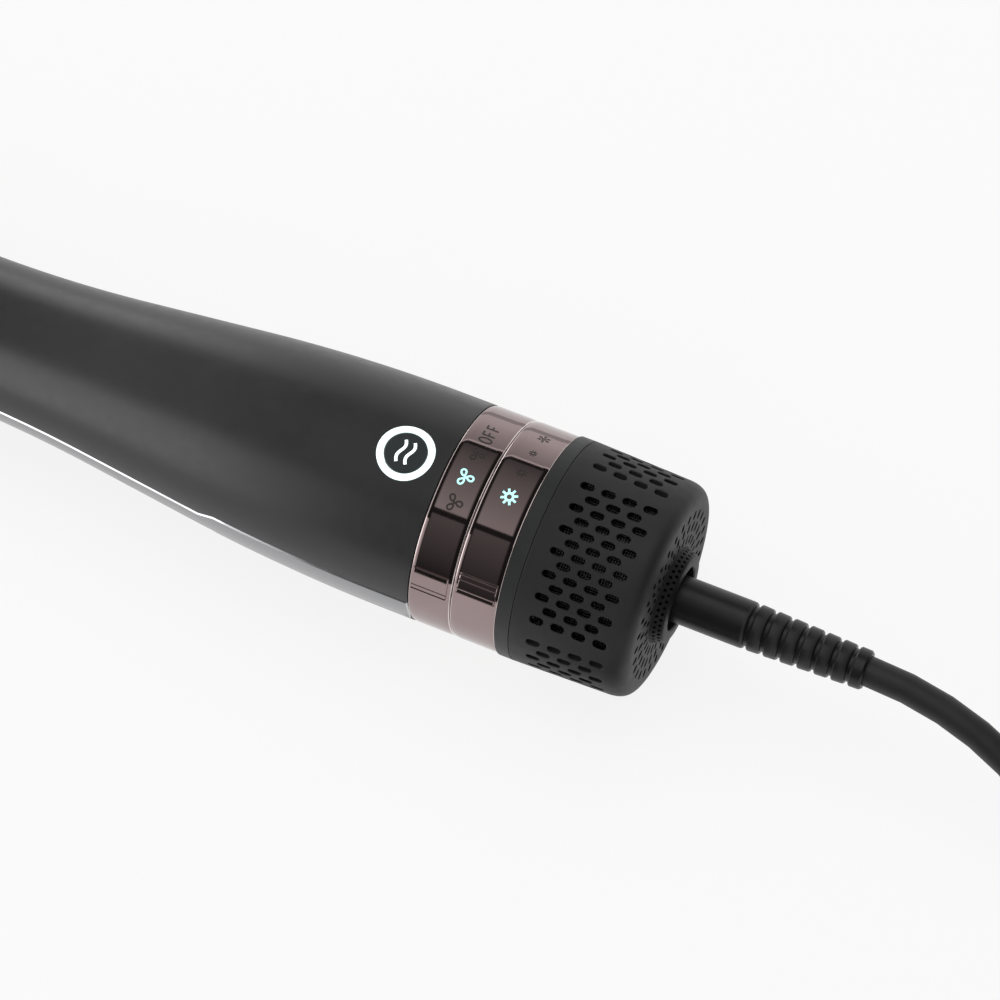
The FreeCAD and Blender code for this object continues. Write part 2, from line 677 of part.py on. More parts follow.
# ---------------------------------------------------------------------------------------------------------
# Ion button, its light and the boards
# ---------------------------------------------------------------------------------------------------------
def upright(name, outer, inner, bottom, top_radius):
    """A round piece that stands on a level and ends in the handle's own curve."""
    column = []
    for part, radius in ((f"{name}_column", outer), (f"{name}_column_bore", inner)):
        if radius:
            item = document.addObject("Part::Prism", part)
            item.Polygon = MID_SIDES
            item.setExpression("Circumradius", named(radius))
            item.setExpression("Height", named(f"ring_radius + 2 - ({bottom})"))
            column.append(place(item, "-button_place", "0", bottom))
    solid = cut(f"{name}_tube", *column) if inner else column[0]
    crown = rod(f"{name}_crown", top_radius, "-button_place - 10", "0", LARGE_SIDES)
    return common(f"{name}_shaped", solid, crown)


def build_button():
    level = "ring_radius - light_depth"
    light = upright("light_ring", "light_outer_radius", f"light_inner_radius / cos(180 / {MID_SIDES})", level,
                    "ring_radius - 0.06")
    finish(light, "ion_light_ring")
    button = upright("button", "button_radius", None, "button_bottom", "ring_radius - 0.02")
    finish(button, "ion_button")
    case = box(
        "switch_case", "switch_width", "switch_width", "switch_height",
        "-button_place - switch_width / 2", "0", "board_top",
    )
    nub = document.addObject("Part::Prism", "switch_nub")
    nub.Polygon = SMALL_SIDES
    nub.setExpression("Circumradius", named("nub_radius"))
    nub.setExpression("Height", named("nub_height"))
    place(nub, "-button_place", "0", "board_top + switch_height")
    finish(fuse("switch", [case, nub]), "ion_switch")
    board = box(
        "main_board", "board_front + board_rear", "2 * board_half_width", "board_thickness",
        "-board_front", "0", "board_level",
    )
    finish(fuse("main_board_piece", [board, board_parts()]), "circuit_board")
    generator = box(
        "generator", "generator_length", "generator_width", "generator_height",
        "-generator_front", "0", "-generator_bottom",
    )
    finish(cut("generator_piece", generator, generator_notch()), "ion_generator")


def board_parts():
    """The tall components on the board's underside: a choke and a capacitor, as one block."""
    return box("board_choke", "10", "12", "4", "-board_front + 3", "0", "board_level - 4")


def generator_notch():
    """The step at the generator's lead end."""
    return box(
        "generator_step", "4", "generator_width + 2", "generator_height / 2",
        "-generator_front - 1", "0", "-generator_bottom + generator_height / 2",
    )


# ---------------------------------------------------------------------------------------------------------
# Dial rings and their carrier
# ---------------------------------------------------------------------------------------------------------
def dial_ring(name, start, end, grip_arc, grip_turn):
    """A dial ring with two raised grips and an inner lug that its wiper sits on."""
    ring = body(name)
    section = sketch_on(ring, "XZ_Plane", f"{name}_section")
    outline(
        section,
        [(start, "carrier_radius"), (start, "ring_radius"), (end, "ring_radius"), (end, "carrier_radius")],
    )
    revolve(ring, section)
    for side, turn in enumerate((grip_turn, f"{grip_turn} + 180")):
        grip = sketch_on(ring, "XZ_Plane", f"{name}_grip_{side}", turn=size(turn))
        outline(
            grip,
            [
                (f"{start} + grip_margin", "ring_radius - ring_wall / 2"),
                (f"{start} + grip_margin", "ring_radius + grip_height"),
                (f"{end} - grip_margin", "ring_radius + grip_height"),
                (f"{end} - grip_margin", "ring_radius - ring_wall / 2"),
            ],
        )
        revolve(ring, grip, grip_arc, both_ways=True)
    bore = rod(f"{name}_bore", "ring_inner_radius", f"{start} - 1", f"{end} + 1", LARGE_SIDES, hole=True)
    lug = box(
        f"{name}_lug", "lug_length", "lug_width", "ring_inner_radius + lug_bite - lug_inner_radius",
        f"({start} + {end} - lug_length) / 2", "0", "-ring_inner_radius - lug_bite",
    )
    return fuse(f"{name}_piece", [cut(f"{name}_rim", ring, bore), lug])


def window(name, middle, back_turn, forward_turn):
    """The sector of a carrier window: as wide as its ring's travel, so that its ends are the stops."""
    slack = "(asin((lug_width / 2 + window_gap) / carrier_inner_radius) / 1 deg)"
    sector = document.addObject("Part::Cylinder", name)
    sector.setExpression("Radius", named("ring_radius"))
    sector.setExpression("Height", named("lug_length + 2 * window_gap"))
    sector.setExpression("Angle", named(f"{back_turn} + {forward_turn} + 2 * {slack}"))
    # With the cylinder laid along X, its angle 0 is at -Z and runs towards +Y.
    start_turn = -size(f"{back_turn} + {slack}")
    rotation = turned(start_turn).multiply(ALONG_X)
    return place(sector, f"{middle} - lug_length / 2 - window_gap", rotation=rotation)


def build_rings():
    speed = dial_ring("speed_dial", "speed_start", "speed_end", "speed_grip_arc", "speed_grip_turn")
    finish(speed, "speed_ring")
    heat = dial_ring("heat_dial", "heat_start", "heat_end", "heat_grip_arc", "heat_grip_turn")
    finish(heat, "heat_ring")
    speed_wiper = box(
        "speed_contact", "selector_front - contact_gap - speed_middle - lug_length / 2", "wiper_width",
        "wiper_depth", "speed_middle + lug_length / 2", "0", "-lug_inner_radius - wiper_depth",
    )
    finish(speed_wiper, "speed_wiper")
    place_like_box(speed_wiper, "speed_middle + lug_length / 2", "wiper_width", "wiper_depth")
    heat_wiper = box(
        "heat_contact", "heat_middle - lug_length / 2 - selector_rear - contact_gap", "wiper_width",
        "wiper_depth", "selector_rear + contact_gap", "0", "-lug_inner_radius - wiper_depth",
    )
    finish(heat_wiper, "heat_wiper")
    place_like_box(heat_wiper, "selector_rear + contact_gap", "wiper_width", "wiper_depth")
    build_carrier()
    selector = tube(
        "selector", "carrier_inner_radius - fit_gap", "selector_hole_radius", "selector_front",
        "selector_rear", LARGE_SIDES,
    )
    finish(selector, "selector_board")


def place_like_box(item, x, width, depth):
    """Lays down a finished box that no boolean holds, by its corner."""
    place(
        item, f"origin_shift + {x}", f"-({width}) / 2", f"axis_height - lug_inner_radius - {depth}"
    )


def build_carrier():
    """The sleeve that both rings turn on, with its flange, windows, detent holes and screw holes."""
    sleeve = rod("carrier_wall_rod", "carrier_radius", "-carrier_reach", "band_start", LARGE_SIDES)
    flange = rod("carrier_flange", "ring_radius - flange_drop", "flange_start", "flange_end", LARGE_SIDES)
    bore = rod("carrier_bore", "carrier_inner_radius", "-carrier_reach", "band_start", LARGE_SIDES, hole=True)
    speed_window = window("speed_window", "speed_middle", "speed_back_turn", "speed_off_turn")
    heat_window = window("heat_window", "heat_middle", "0", "heat_cool_turn")
    detent_holes = [
        detent(f"detent_hole_{row}", middle, "detent_radius + fit_gap", "0")
        for row, middle in enumerate(("speed_middle", "heat_middle"))
    ]
    screw_holes = screw_tools("carrier_screw_hole", "screw_radius", "0")
    tools = fuse("carrier_cuts", [bore, speed_window, heat_window] + detent_holes + screw_holes)
    finish(cut("carrier", fuse("carrier_solid", [sleeve, flange]), tools), "ring_carrier")
    pins = document.addObject("Part::Compound", "detent_pin_pair")
    pins.Links = [
        detent(f"detent_pin_{row}", middle, "detent_radius", "0.1")
        for row, middle in enumerate(("speed_middle", "heat_middle"))
    ]
    finish(pins, "detent_pins")


def detent(name, middle, radius, drop):
    """A short upright pin in the carrier's wall, under a ring."""
    pin = document.addObject("Part::Prism", name)
    pin.Polygon = SMALL_SIDES
    pin.setExpression("Circumradius", named(radius))
    pin.setExpression("Height", named(f"carrier_wall + 1.2 - ({drop})"))
    return place(pin, middle, "0", "carrier_inner_radius - 1")


def screw_tools(name, radius, extra):
    """The three places of the frame screws, as rods through the frame's ring and the carrier's end."""
    tools = []
    for number in range(SPOKES):
        turn = 60 + 360 * number / SPOKES
        middle = "(carrier_radius + carrier_inner_radius) / 2"
        y = f"0 - ({middle}) * sin({turn})"
        z = f"({middle}) * cos({turn})"
        end = "band_end + spigot_length"
        start = f"band_end + spigot_length - screw_length - ({extra})"
        tools.append(rod(f"{name}_{number}", radius, start, end, SMALL_SIDES, y=y, z=z))
    return tools


# ---------------------------------------------------------------------------------------------------------
# Rear frame, cord sleeve and filter cap
# ---------------------------------------------------------------------------------------------------------
def build_rear_frame():
    """The black band, the spigot for the cap, three spokes and the hub round the cord sleeve."""
    band = rod("band", "band_radius", "band_start", "band_end")
    spigot = rod("spigot", "spigot_radius", "band_start", "band_end + spigot_length", LARGE_SIDES)
    opening = rod(
        "frame_opening", "frame_hole_radius", "band_start", "band_end + spigot_length", LARGE_SIDES, hole=True
    )
    ring = cut("frame_ring", fuse("frame_rim", [band, spigot]), opening)
    hub = rod("frame_hub", "hub_radius", "band_start", "band_end + hub_reach", MID_SIDES)
    spokes = []
    for number in range(SPOKES):
        turn = 360 * number / SPOKES
        spokes.append(
            box(f"spoke_{number}", "band_length", "spoke_width",
                "frame_hole_radius + 1 - sleeve_bore_radius", "band_start", "0", "sleeve_bore_radius", turn)
        )
        spokes.append(
            box(f"gusset_{number}", "band_length + 8", "spoke_width / 2", "3", "band_start", "0",
                "hub_radius - 0.5", turn)
        )
    bore = rod("hub_bore", "sleeve_bore_radius", "band_start", "band_end + hub_reach", MID_SIDES, hole=True)
    holes = screw_tools("frame_screw_hole", "screw_radius", "0")
    solid = fuse("rear_frame_solid", [ring, hub] + spokes)
    finish(cut("rear_frame_piece", solid, fuse("frame_cuts", [bore] + holes)), "rear_frame")
    screws = []
    for shank, head in zip(screw_tools("screw_shank", "screw_radius - 0.05", "-0.2"), screw_heads()):
        screws.append(fuse(f"{shank.Name}_screw", [shank, head]))
    group = document.addObject("Part::Compound", "frame_screw_group")
    group.Links = screws
    finish(group, "frame_screws")


def screw_heads():
    heads = []
    for number in range(SPOKES):
        turn = 60 + 360 * number / SPOKES
        middle = "(carrier_radius + carrier_inner_radius) / 2"
        y = f"0 - ({middle}) * sin({turn})"
        z = f"({middle}) * cos({turn})"
        start = "band_end + spigot_length"
        heads.append(
            rod(f"screw_head_{number}", "screw_head_radius", start, f"{start} + screw_head_height",
                SMALL_SIDES, y=y, z=z)
        )
    return heads


def build_swivel():
    """The cord sleeve turns in the frame's hub, and a bush in its groove keeps it there."""
    runs = [
        rod("sleeve_inner", "sleeve_radius", "sleeve_inner_end", "bush_start - fit_gap", MID_SIDES),
        rod("sleeve_neck", "sleeve_radius - neck_depth", "sleeve_inner_end", "sleeve_straight_end",
            MID_SIDES),
        rod("sleeve_run", "sleeve_radius", "bush_end + fit_gap", "sleeve_straight_end", MID_SIDES),
    ]
    steps = [("sleeve_straight_end", "sleeve_radius"), ("sleeve_end", "sleeve_end_radius")]
    runs.append(lofted("sleeve_tail", steps, MID_SIDES))
    finish(fuse("sleeve", runs), "cord_sleeve")
    bush = tube("bush", "sleeve_bore_radius", "bush_inner_radius", "bush_start", "bush_end", MID_SIDES)
    finish(bush, "swivel_bush")


def cap_angles(radius, has_plain_flats):
    """Corners of the cap's wall, in degrees from a panel's middle line, for a wall of a mean radius. Each
    slot row has a flat of its own, and outside a plain flat lies between two panels."""
    half = SLOT_ROWS // 2
    corners = [
        math.degrees(math.asin(size(f"row_pitch / ({radius})") * (row + 0.5))) for row in range(-half, half)
    ]
    edge = 180 / SLOT_PANELS
    if has_plain_flats:
        last = math.degrees(math.asin(size(f"row_pitch / ({radius})") * (half + 0.5)))
        corners = [-last] + corners + [last]
    else:
        corners = [-edge] + corners
    return [corner + 2 * edge * panel for panel in range(SLOT_PANELS) for corner in corners]


def flat_sided(stations, angles):
    """A closed solid between polygons round the axis, each at its own x and radius."""
    rings = [
        [Vector(x, -radius * math.sin(math.radians(a)), radius * math.cos(math.radians(a))) for a in angles]
        for x, radius in stations
    ]
    faces = [Part.Face(Part.makePolygon(ring + ring[:1])) for ring in (rings[0], rings[-1])]
    for near, far in zip(rings, rings[1:]):
        for index, corner in enumerate(near):
            following = (index + 1) % len(near)
            quad = [corner, near[following], far[following], far[index]]
            faces.append(Part.Face(Part.makePolygon(quad + quad[:1])))
    return Part.Solid(Part.Shell(faces))


def wall_slots():
    """The slots of one panel, all cut the same way, square to the panel's middle."""
    half = SLOT_ROWS // 2
    slots = []
    reach = size("band_radius")
    low = size("cap_shoulder_radius") * math.cos(math.radians(360 / SLOT_PANELS / 2)) - size("cap_wall")
    half_length, half_width = size("slot_length / 2"), size("slot_width / 2")
    for row in range(-half, half + 1):
        is_long = row % 2 == 0
        count = SLOTS_IN_LONG_ROW if is_long else SLOTS_IN_LONG_ROW - 1
        first = size("band_end + slot_start") + (0 if is_long else size("slot_pitch / 2"))
        middle = size("row_pitch") * row
        for place_in_row in range(count):
            x = first + size("slot_pitch") * place_in_row
            corners = [
                Vector(x + dx * half_length, middle + dy * half_width, low)
                for dx, dy in ((-1, -1), (-1, 1), (1, 1), (1, -1))
            ]
            slots.append(prism_from(corners, Vector(0, 0, reach)))
    return slots


def end_slots():
    """Two rings of radial slots in the end face, each slot narrower towards the middle."""
    slots = []
    depth = Vector(size("boss_height + cap_wall + cap_face") * 2, 0, 0)
    x = size("cap_end - 2 * cap_wall")
    bridge = size("petal_bridge / 2")
    rings = [
        (size("petal_inner_radius"), size("petal_middle_radius") - bridge, 0.0),
        (size("petal_middle_radius") + bridge, size("petal_outer_radius"), 0.5),
    ]
    for inner, outer, shift in rings:
        for number in range(END_SLOTS):
            turn = math.radians(360 * (number + shift) / END_SLOTS)
            along = Vector(0, -math.sin(turn), math.cos(turn))
            across = Vector(0, math.cos(turn), math.sin(turn)) * size("petal_width / 2")
            narrow = across * (inner / outer)
            base = Vector(x, 0, 0)
            corners = [
                base + along * inner - narrow,
                base + along * inner + narrow,
                base + along * outer + across,
                base + along * outer - across,
            ]
            slots.append(prism_from(corners, depth))
    return slots


def build_cap():
    """The filter cap: a cup with a slotted wall, a slotted end face and a boss with the cord's recess."""
    wall, end = size("cap_wall"), size("cap_end")
    middle = "(band_radius + cap_shoulder_radius) / 2"
    outside = flat_sided(
        [
            (size("cap_start"), size("band_radius")),
            (size("cap_shoulder"), size("cap_shoulder_radius")),
            (size("cap_corner_place"), size("cap_corner_radius")),
            (end, size("cap_face_radius")),
        ],
        cap_angles(middle, True),
    )
    inside = flat_sided(
        [
            (size("cap_start") - 1, size("band_radius") - wall),
            (size("cap_shoulder"), size("cap_shoulder_radius") - wall),
            (end - wall, size("cap_face_radius") - wall / 2),
        ],
        cap_angles(f"{middle} - cap_wall", False),
    )
    rim = [360 * number / MID_SIDES for number in range(MID_SIDES)]
    boss = flat_sided(
        [(end - wall, size("boss_radius")), (end, size("boss_radius")),
         (size("boss_end"), size("boss_top_radius"))],
        rim,
    )
    hole_radius = size("cord_hole_radius") / math.cos(math.pi / MID_SIDES)
    hole = flat_sided([(end - 2 * wall, hole_radius), (size("boss_end") + 1, hole_radius)], rim)
    panel = wall_slots()
    slots = []
    for number in range(SLOT_PANELS):
        for slot in panel:
            turned_slot = slot.copy()
            turned_slot.rotate(Vector(0, 0, 0), X_AXIS, 360 / SLOT_PANELS * number)
            slots.append(turned_slot)
    shell = outside.cut(inside).fuse(boss).cut(hole)
    shell = shell.cut(slots + end_slots())
    finish(free_shape("cap", shell.Solids[0]), "filter_cap", turned(size("panel_turn")))
    screen = tube(
        "screen", "screen_radius", "screen_radius - screen_thickness",
        "band_end + spigot_length + screw_head_height + fit_gap", "cap_shoulder", LARGE_SIDES,
    )
    finish(screen, "filter_screen")


# ---------------------------------------------------------------------------------------------------------
# Fan, motor and heater
# ---------------------------------------------------------------------------------------------------------
def build_fan():
    """The impeller: a hub with curved blades."""
    hub = rod("fan_hub", "fan_hub_radius", "-fan_place - fan_hub_length", "-fan_place", MID_SIDES)
    blades = []
    root = size("fan_hub_radius") * 0.8
    chord, sweep, thick = size("blade_chord"), size("blade_sweep"), size("blade_thickness")
    height = math.sqrt(size("fan_radius") ** 2 - (sweep / 2 + thick) ** 2) - root
    middle = -size("fan_place + fan_hub_length / 2")
    line = [(chord / 2 * share, sweep / 2 * share * abs(share) ** 0.5) for share in (1, 0.4, -0.3, -1)]
    corners = [Vector(middle + x, y, root) for x, y in line]
    corners += [Vector(middle + x, y + thick, root) for x, y in reversed(line)]
    for number in range(BLADES):
        blade = prism_from(corners, Vector(0, 0, height))
        blade.rotate(Vector(0, 0, 0), X_AXIS, 360 * number / BLADES)
        blades.append(blade)
    blade_set = free_shape("fan_blades", Part.Compound(blades))
    bore = rod("fan_bore", "shaft_radius", "-fan_place - fan_hub_length", "-fan_place - 1", SMALL_SIDES)
    finish(cut("fan_piece", fuse("fan_solid", [hub, blade_set]), bore), "fan_impeller")
    shaft = rod("shaft", "shaft_radius", "-motor_end + 3", "-fan_place - 1", SMALL_SIDES)
    finish(shaft, "motor_shaft")
    lay_rod(shaft, "-motor_end + 3")


def lay_rod(item, start, sideways="0"):
    """Lays down a finished rod that no boolean holds."""
    place(item, f"origin_shift + ({start})", sideways, "axis_height", ALONG_X)


def build_motor():
    can = rod("motor_can", "motor_radius", "-motor_end", "-motor_start", MID_SIDES)
    boss = rod("motor_boss", "motor_radius / 2", "-motor_end - 2", "-motor_end", SMALL_SIDES)
    bore = rod("motor_bore", "shaft_radius + 0.1", "-motor_end + 2", "-motor_start", SMALL_SIDES, hole=True)
    finish(cut("motor_piece", fuse("motor_solid", [can, boss]), bore), "motor")
    shroud = tube("shroud", "housing_radius", "housing_inner_radius", "-housing_end", "-housing_start",
                  LARGE_SIDES)
    sleeve = rod("motor_sleeve", "sleeve_wall_radius + 1", "-motor_start - 2 - vane_length",
                 "-motor_start - 2", MID_SIDES)
    vanes = [
        box(f"vane_{number}", "vane_length", "vane_thickness",
            "housing_inner_radius + 0.5 - sleeve_wall_radius", "-motor_start - 2 - vane_length", "0",
            "sleeve_wall_radius", 360 * number / VANES)
        for number in range(VANES)
    ]
    bore = rod("sleeve_bore", "sleeve_wall_radius", "-motor_start - 2 - vane_length", "-motor_start - 2",
               MID_SIDES, hole=True)
    solid = fuse("housing_solid", [shroud, sleeve] + vanes)
    finish(cut("housing_piece", solid, bore), "fan_housing")


def mica_outline(sketch):
    """A mica plate: narrow under the coil, with tabs at both ends that reach the liner."""
    tab = "liner_radius - liner_wall - 3 * fit_gap"
    marks = [
        ("-mica_start", tab),
        ("-mica_start - mica_tab", tab),
        ("-mica_start - mica_tab", "coil_apothem"),
        ("-mica_end + mica_tab", "coil_apothem"),
        ("-mica_end + mica_tab", tab),
        ("-mica_end", tab),
    ]
    mirrored = [(x, f"-({y})") for x, y in reversed(marks)]
    outline(sketch, marks + mirrored)


def build_heater():
    wall = rod("liner_tube", "liner_radius", "-handle_length - liner_reach", "-housing_end", MID_SIDES)
    flange = rod("liner_flange_rod", "housing_radius", "-housing_end - liner_flange", "-housing_end",
                 MID_SIDES)
    bore = rod("liner_bore", f"liner_radius * cos(180 / {MID_SIDES}) - liner_wall",
               "-handle_length - liner_reach", "-housing_end", MID_SIDES, hole=True)
    finish(cut("liner", fuse("liner_solid", [wall, flange]), bore), "heater_liner")
    frame = body("mica")
    for plane in ("XZ_Plane", "XY_Plane"):
        plate = sketch_on(frame, plane, f"mica_{plane[:2]}")
        mica_outline(plate)
        pad(frame, plate, "mica_thickness", both_ways=True)
    finish(frame, "heater_frame")
    turns = []
    for number in range(HEATER_TURNS):
        middle = f"-(mica_start + mica_end) / 2 + ({number} - {HEATER_TURNS - 1} / 2) * coil_pitch"
        outside = rod(f"turn_{number}", "(coil_apothem + coil_wire) / cos(22.5)",
                      f"{middle} - coil_wire / 2", f"{middle} + coil_wire / 2", 8)
        inside = rod(f"turn_hole_{number}", "coil_apothem / cos(22.5)", f"{middle} - coil_wire / 2",
                     f"{middle} + coil_wire / 2", 8)
        for half in (outside, inside):
            half.Placement.Rotation = turned(22.5).multiply(ALONG_X)
        turns.append(cut(f"turn_{number}_ring", outside, inside))
    group = document.addObject("Part::Compound", "heater_turns")
    group.Links = turns
    finish(group, "heater_coil")
    beside = "mica_thickness / 2 + fuse_radius"
    fuse_rod = rod("fuse_rod", "fuse_radius", "-mica_end + 8", "-mica_end + 8 + fuse_length", SMALL_SIDES)
    finish(fuse_rod, "thermal_fuse")
    place(fuse_rod, "origin_shift - mica_end + 8", beside, f"axis_height + {beside}", ALONG_X)
    base = rod("emitter_base_rod", "emitter_radius", "-mica_end - emitter_base", "-mica_end", SMALL_SIDES)
    needle = rod("emitter_needle", "needle_radius", "-mica_end - emitter_base - needle_length",
                 "-mica_end - emitter_base", SMALL_SIDES)
    finish(fuse("emitter", [base, needle]), "ion_emitter")


# ---------------------------------------------------------------------------------------------------------
# Brush head
# ---------------------------------------------------------------------------------------------------------
def head_ring(x, inset, is_round=False):
    """The corners of the head's section at one place along the axis: the barrel's oval moved inwards by an
    inset, or the neck's circle. Both have the same number of flats, and each flat keeps its direction."""
    turn = size("junction_turn")
    top = Vector(x, 0, -size("barrel_top_drop"))
    side = Vector(x, size("side_center"), 0)
    middle = Vector(x, 0, 0)
    if is_round:
        arcs = [(middle, inset, -turn, turn, TOP_FLATS), (middle, inset, turn, 180 - turn, SIDE_FLATS)]
    else:
        arcs = [
            (top, size("barrel_top_radius") - inset, -turn, turn, TOP_FLATS),
            (side, size("barrel_side_radius") - inset, turn, 180 - turn, SIDE_FLATS),
        ]
    corners = []
    for center, radius, start, end, flats in arcs:
        for number in range(flats):
            angle = math.radians(start + (end - start) * number / flats)
            corners.append(center + Vector(0, math.sin(angle), math.cos(angle)) * radius)
    half_turn = Rotation(X_AXIS, 180)
    return corners + [half_turn.multVec(corner) for corner in corners]


def head_solid(rings):
    """The closed solid between the head's sections."""
    faces = [Part.Face(Part.makePolygon(ring + ring[:1])) for ring in (rings[0], rings[-1])]
    for near, far in zip(rings, rings[1:]):
        for index, corner in enumerate(near):
            following = (index + 1) % len(near)
            quad = [corner, near[following], far[following], far[index]]
            faces.append(Part.Face(Part.makePolygon(quad + quad[:1])))
    return Part.Solid(Part.Shell(faces))


def build_collar():
    """The neck collar: from the handle's round end to the barrel's oval."""
    near = head_ring(-size("handle_length"), size("neck_radius"), is_round=True)
    far = head_ring(-size("collar_end"), 0.0)
    solid = free_shape("collar_solid", head_solid([far, near]))
    bore = rod("collar_bore", "liner_radius + fit_gap", "-collar_end", "-handle_length", MID_SIDES, hole=True)
    finish(cut("collar_piece", solid, bore), "neck_collar")


def row_placement(turn, lift):
    """Where a row that is drawn along the axis, pointing up, goes on the upper wide side of the barrel."""
    spin = Rotation(X_AXIS, -turn)
    middle = Vector(-size("(collar_end + barrel_end) / 2"), 0, -size("barrel_top_drop"))
    reach = size("barrel_top_radius * cos(head_step / 2)") + lift
    return Placement(middle + spin.multVec(Vector(0, 0, reach)), spin)


def side_placement(lift):
    """The same on the +Y narrow side."""
    spin = Rotation(X_AXIS, -90)
    middle = Vector(-size("(collar_end + barrel_end) / 2"), size("side_center"), 0)
    flat = math.cos((math.pi - 2 * math.radians(size("junction_turn"))) / SIDE_FLATS / 2)
    reach = size("barrel_side_radius") * flat + lift
    return Placement(middle + spin.multVec(Vector(0, 0, reach)), spin)


def vent_cutters():
    """Rows of vents on the two wide sides."""
    length, width = size("vent_length"), size("vent_width")
    pitch, depth = size("vent_pitch"), size("barrel_wall") * 3
    turn = 2 * size("head_step")
    cutters = []
    for placement in [row_placement(angle, -depth / 2) for angle in (-turn, 0, turn)]:
        for number in range(VENTS_IN_ROW):
            x = pitch * (number - (VENTS_IN_ROW - 1) / 2)
            vent = Part.makeBox(length, width, depth, Vector(x - length / 2, -width / 2, 0))
            vent.transformShape(placement.toMatrix())
            opposite = vent.copy()
            opposite.rotate(Vector(0, 0, 0), X_AXIS, 180)
            cutters += [vent, opposite]
    return cutters


def build_barrel():
    """The vented barrel: an oval tube with rows of vents between its bristle strips."""
    ends = (-size("barrel_end"), -size("collar_end"))
    outside = head_solid([head_ring(x, 0.0) for x in ends])
    wall = size("barrel_wall")
    inside = head_solid([head_ring(x, wall) for x in (ends[0] - 1, ends[1] + 1)])
    tube_shape = cut("barrel_tube", free_shape("barrel_outside", outside),
                     free_shape("barrel_inside", inside))
    vents = free_shape("barrel_vents", Part.Compound(vent_cutters()))
    finish(cut("barrel_piece", tube_shape, vents), "vented_barrel")


def bristle_strip():
    """One strip: a rail with a row of tapered bristles, drawn upright along the axis."""
    length, width, height = size("rail_length"), size("rail_width"), size("rail_height")
    rail = Part.makeBox(length, width, height, Vector(-length / 2, -width / 2, 0))
    root, tip, reach = size("pin_root"), size("pin_tip"), size("pin_reach")
    pitch = (length - 2 * size("pin_margin")) / (PINS_IN_STRIP - 1)
    pins = []
    for number in range(PINS_IN_STRIP):
        x = pitch * (number - (PINS_IN_STRIP - 1) / 2)
        levels = [
            [Vector(x + dx * half, dy * half, z) for dx, dy in ((-1, -1), (1, -1), (1, 1), (-1, 1))]
            for half, z in ((root, height / 2), (tip, reach))
        ]
        faces = [Part.Face(Part.makePolygon(level + level[:1])) for level in levels]
        for index in range(4):
            following = (index + 1) % 4
            quad = [levels[0][index], levels[0][following], levels[1][following], levels[1][index]]
            faces.append(Part.Face(Part.makePolygon(quad + quad[:1])))
        pins.append(Part.Solid(Part.Shell(faces)))
    return rail.fuse(pins).removeSplitter()


def build_bristles():
    strip = bristle_strip()
    lift, step = size("rail_gap"), size("head_step")
    places = [row_placement(angle, lift) for angle in (-3 * step, -step, step, 3 * step)]
    places.append(side_placement(lift))
    laid = Placement(Vector(size("origin_shift"), 0, size("axis_height")), Rotation())
    number = 1
    for opposite in (0, 180):
        for placement in places:
            piece = free_shape(f"strip_{number}", strip.copy())
            piece.Label = f"bristle_strip_{number:02d}"
            piece.Placement = laid.multiply(Placement(Vector(), turned(opposite))).multiply(placement)
            pieces.append(piece)
            number += 1


def build_cool_tip():
    """The cool tip: a tapered oval end with a bevelled front edge and a spigot in the barrel."""
    base, bevel = -size("barrel_end"), size("tip_bevel")
    front = -size("front_end")
    inset = size("(tip_length - tip_bevel) * tan(tip_draft)")
    tip = head_solid([head_ring(front, inset + bevel), head_ring(front + bevel, inset), head_ring(base, 0.0)])
    inner = size("barrel_wall + fit_gap")
    spigot = head_solid([head_ring(base, inner), head_ring(base + size("tip_spigot"), inner)])
    finish(fuse("tip_piece", [free_shape("tip_cap", tip), free_shape("tip_spigot_solid", spigot)]),
           "cool_tip")


# ---------------------------------------------------------------------------------------------------------
# Cord, coil and plug
# ---------------------------------------------------------------------------------------------------------
def route_points():
    """The cord's corners, in the brush's own coordinates."""
    aside, drop = size("lead_aside"), size("axis_height - cord_radius")
    start = Vector(size("sleeve_end"), 0, 0)
    return [start + Vector(x, -aside * share, -drop * share) for x, share in CORD_ROUTE]


def rounded_path(points):
    """Straight runs joined by tangent arcs, each as large as its two runs allow. Returns the wire, its
    length and the arcs' radii."""
    edges, radii = [], []
    start = points[0]
    for before, corner, after in zip(points, points[1:], points[2:]):
        back, ahead = (before - corner), (after - corner)
        reach = 0.45 * min(back.Length, ahead.Length)
        half_turn = (math.pi - back.getAngle(ahead)) / 2
        radius = reach / math.tan(half_turn)
        first = corner + Vector(back).normalize() * reach
        last = corner + Vector(ahead).normalize() * reach
        bisector = (Vector(back).normalize() + Vector(ahead).normalize()).normalize()
        middle = corner + bisector * (radius / math.cos(half_turn) - radius)
        edges.append(Part.LineSegment(start, first).toShape())
        edges.append(Part.Arc(first, middle, last).toShape())
        radii.append(radius)
        start = last
    edges.append(Part.LineSegment(start, points[-1]).toShape())
    wire = Part.Wire(edges)
    return wire, wire.Length, radii


def build_cord():
    """The lead from the sleeve to the coil, swept along its rounded route."""
    points = route_points()
    wire, length, radii = rounded_path(points)
    radius = size("cord_radius")
    corners = [
        points[0] + Vector(0, math.sin(turn), -math.cos(turn)) * radius
        for turn in (2 * math.pi * number / CORD_SIDES for number in range(CORD_SIDES))
    ]
    lead = wire.makePipeShell([Part.makePolygon(corners + corners[:1])], True, False)
    area = CORD_SIDES / 2 * radius * radius * math.sin(2 * math.pi / CORD_SIDES)
    print("cord lead: length %.1f, volume ratio %.5f, radii %s" % (
        length, lead.Volume / (area * length), [round(bend, 1) for bend in radii]))
    finish(free_shape("lead", lead), "cord_lead")


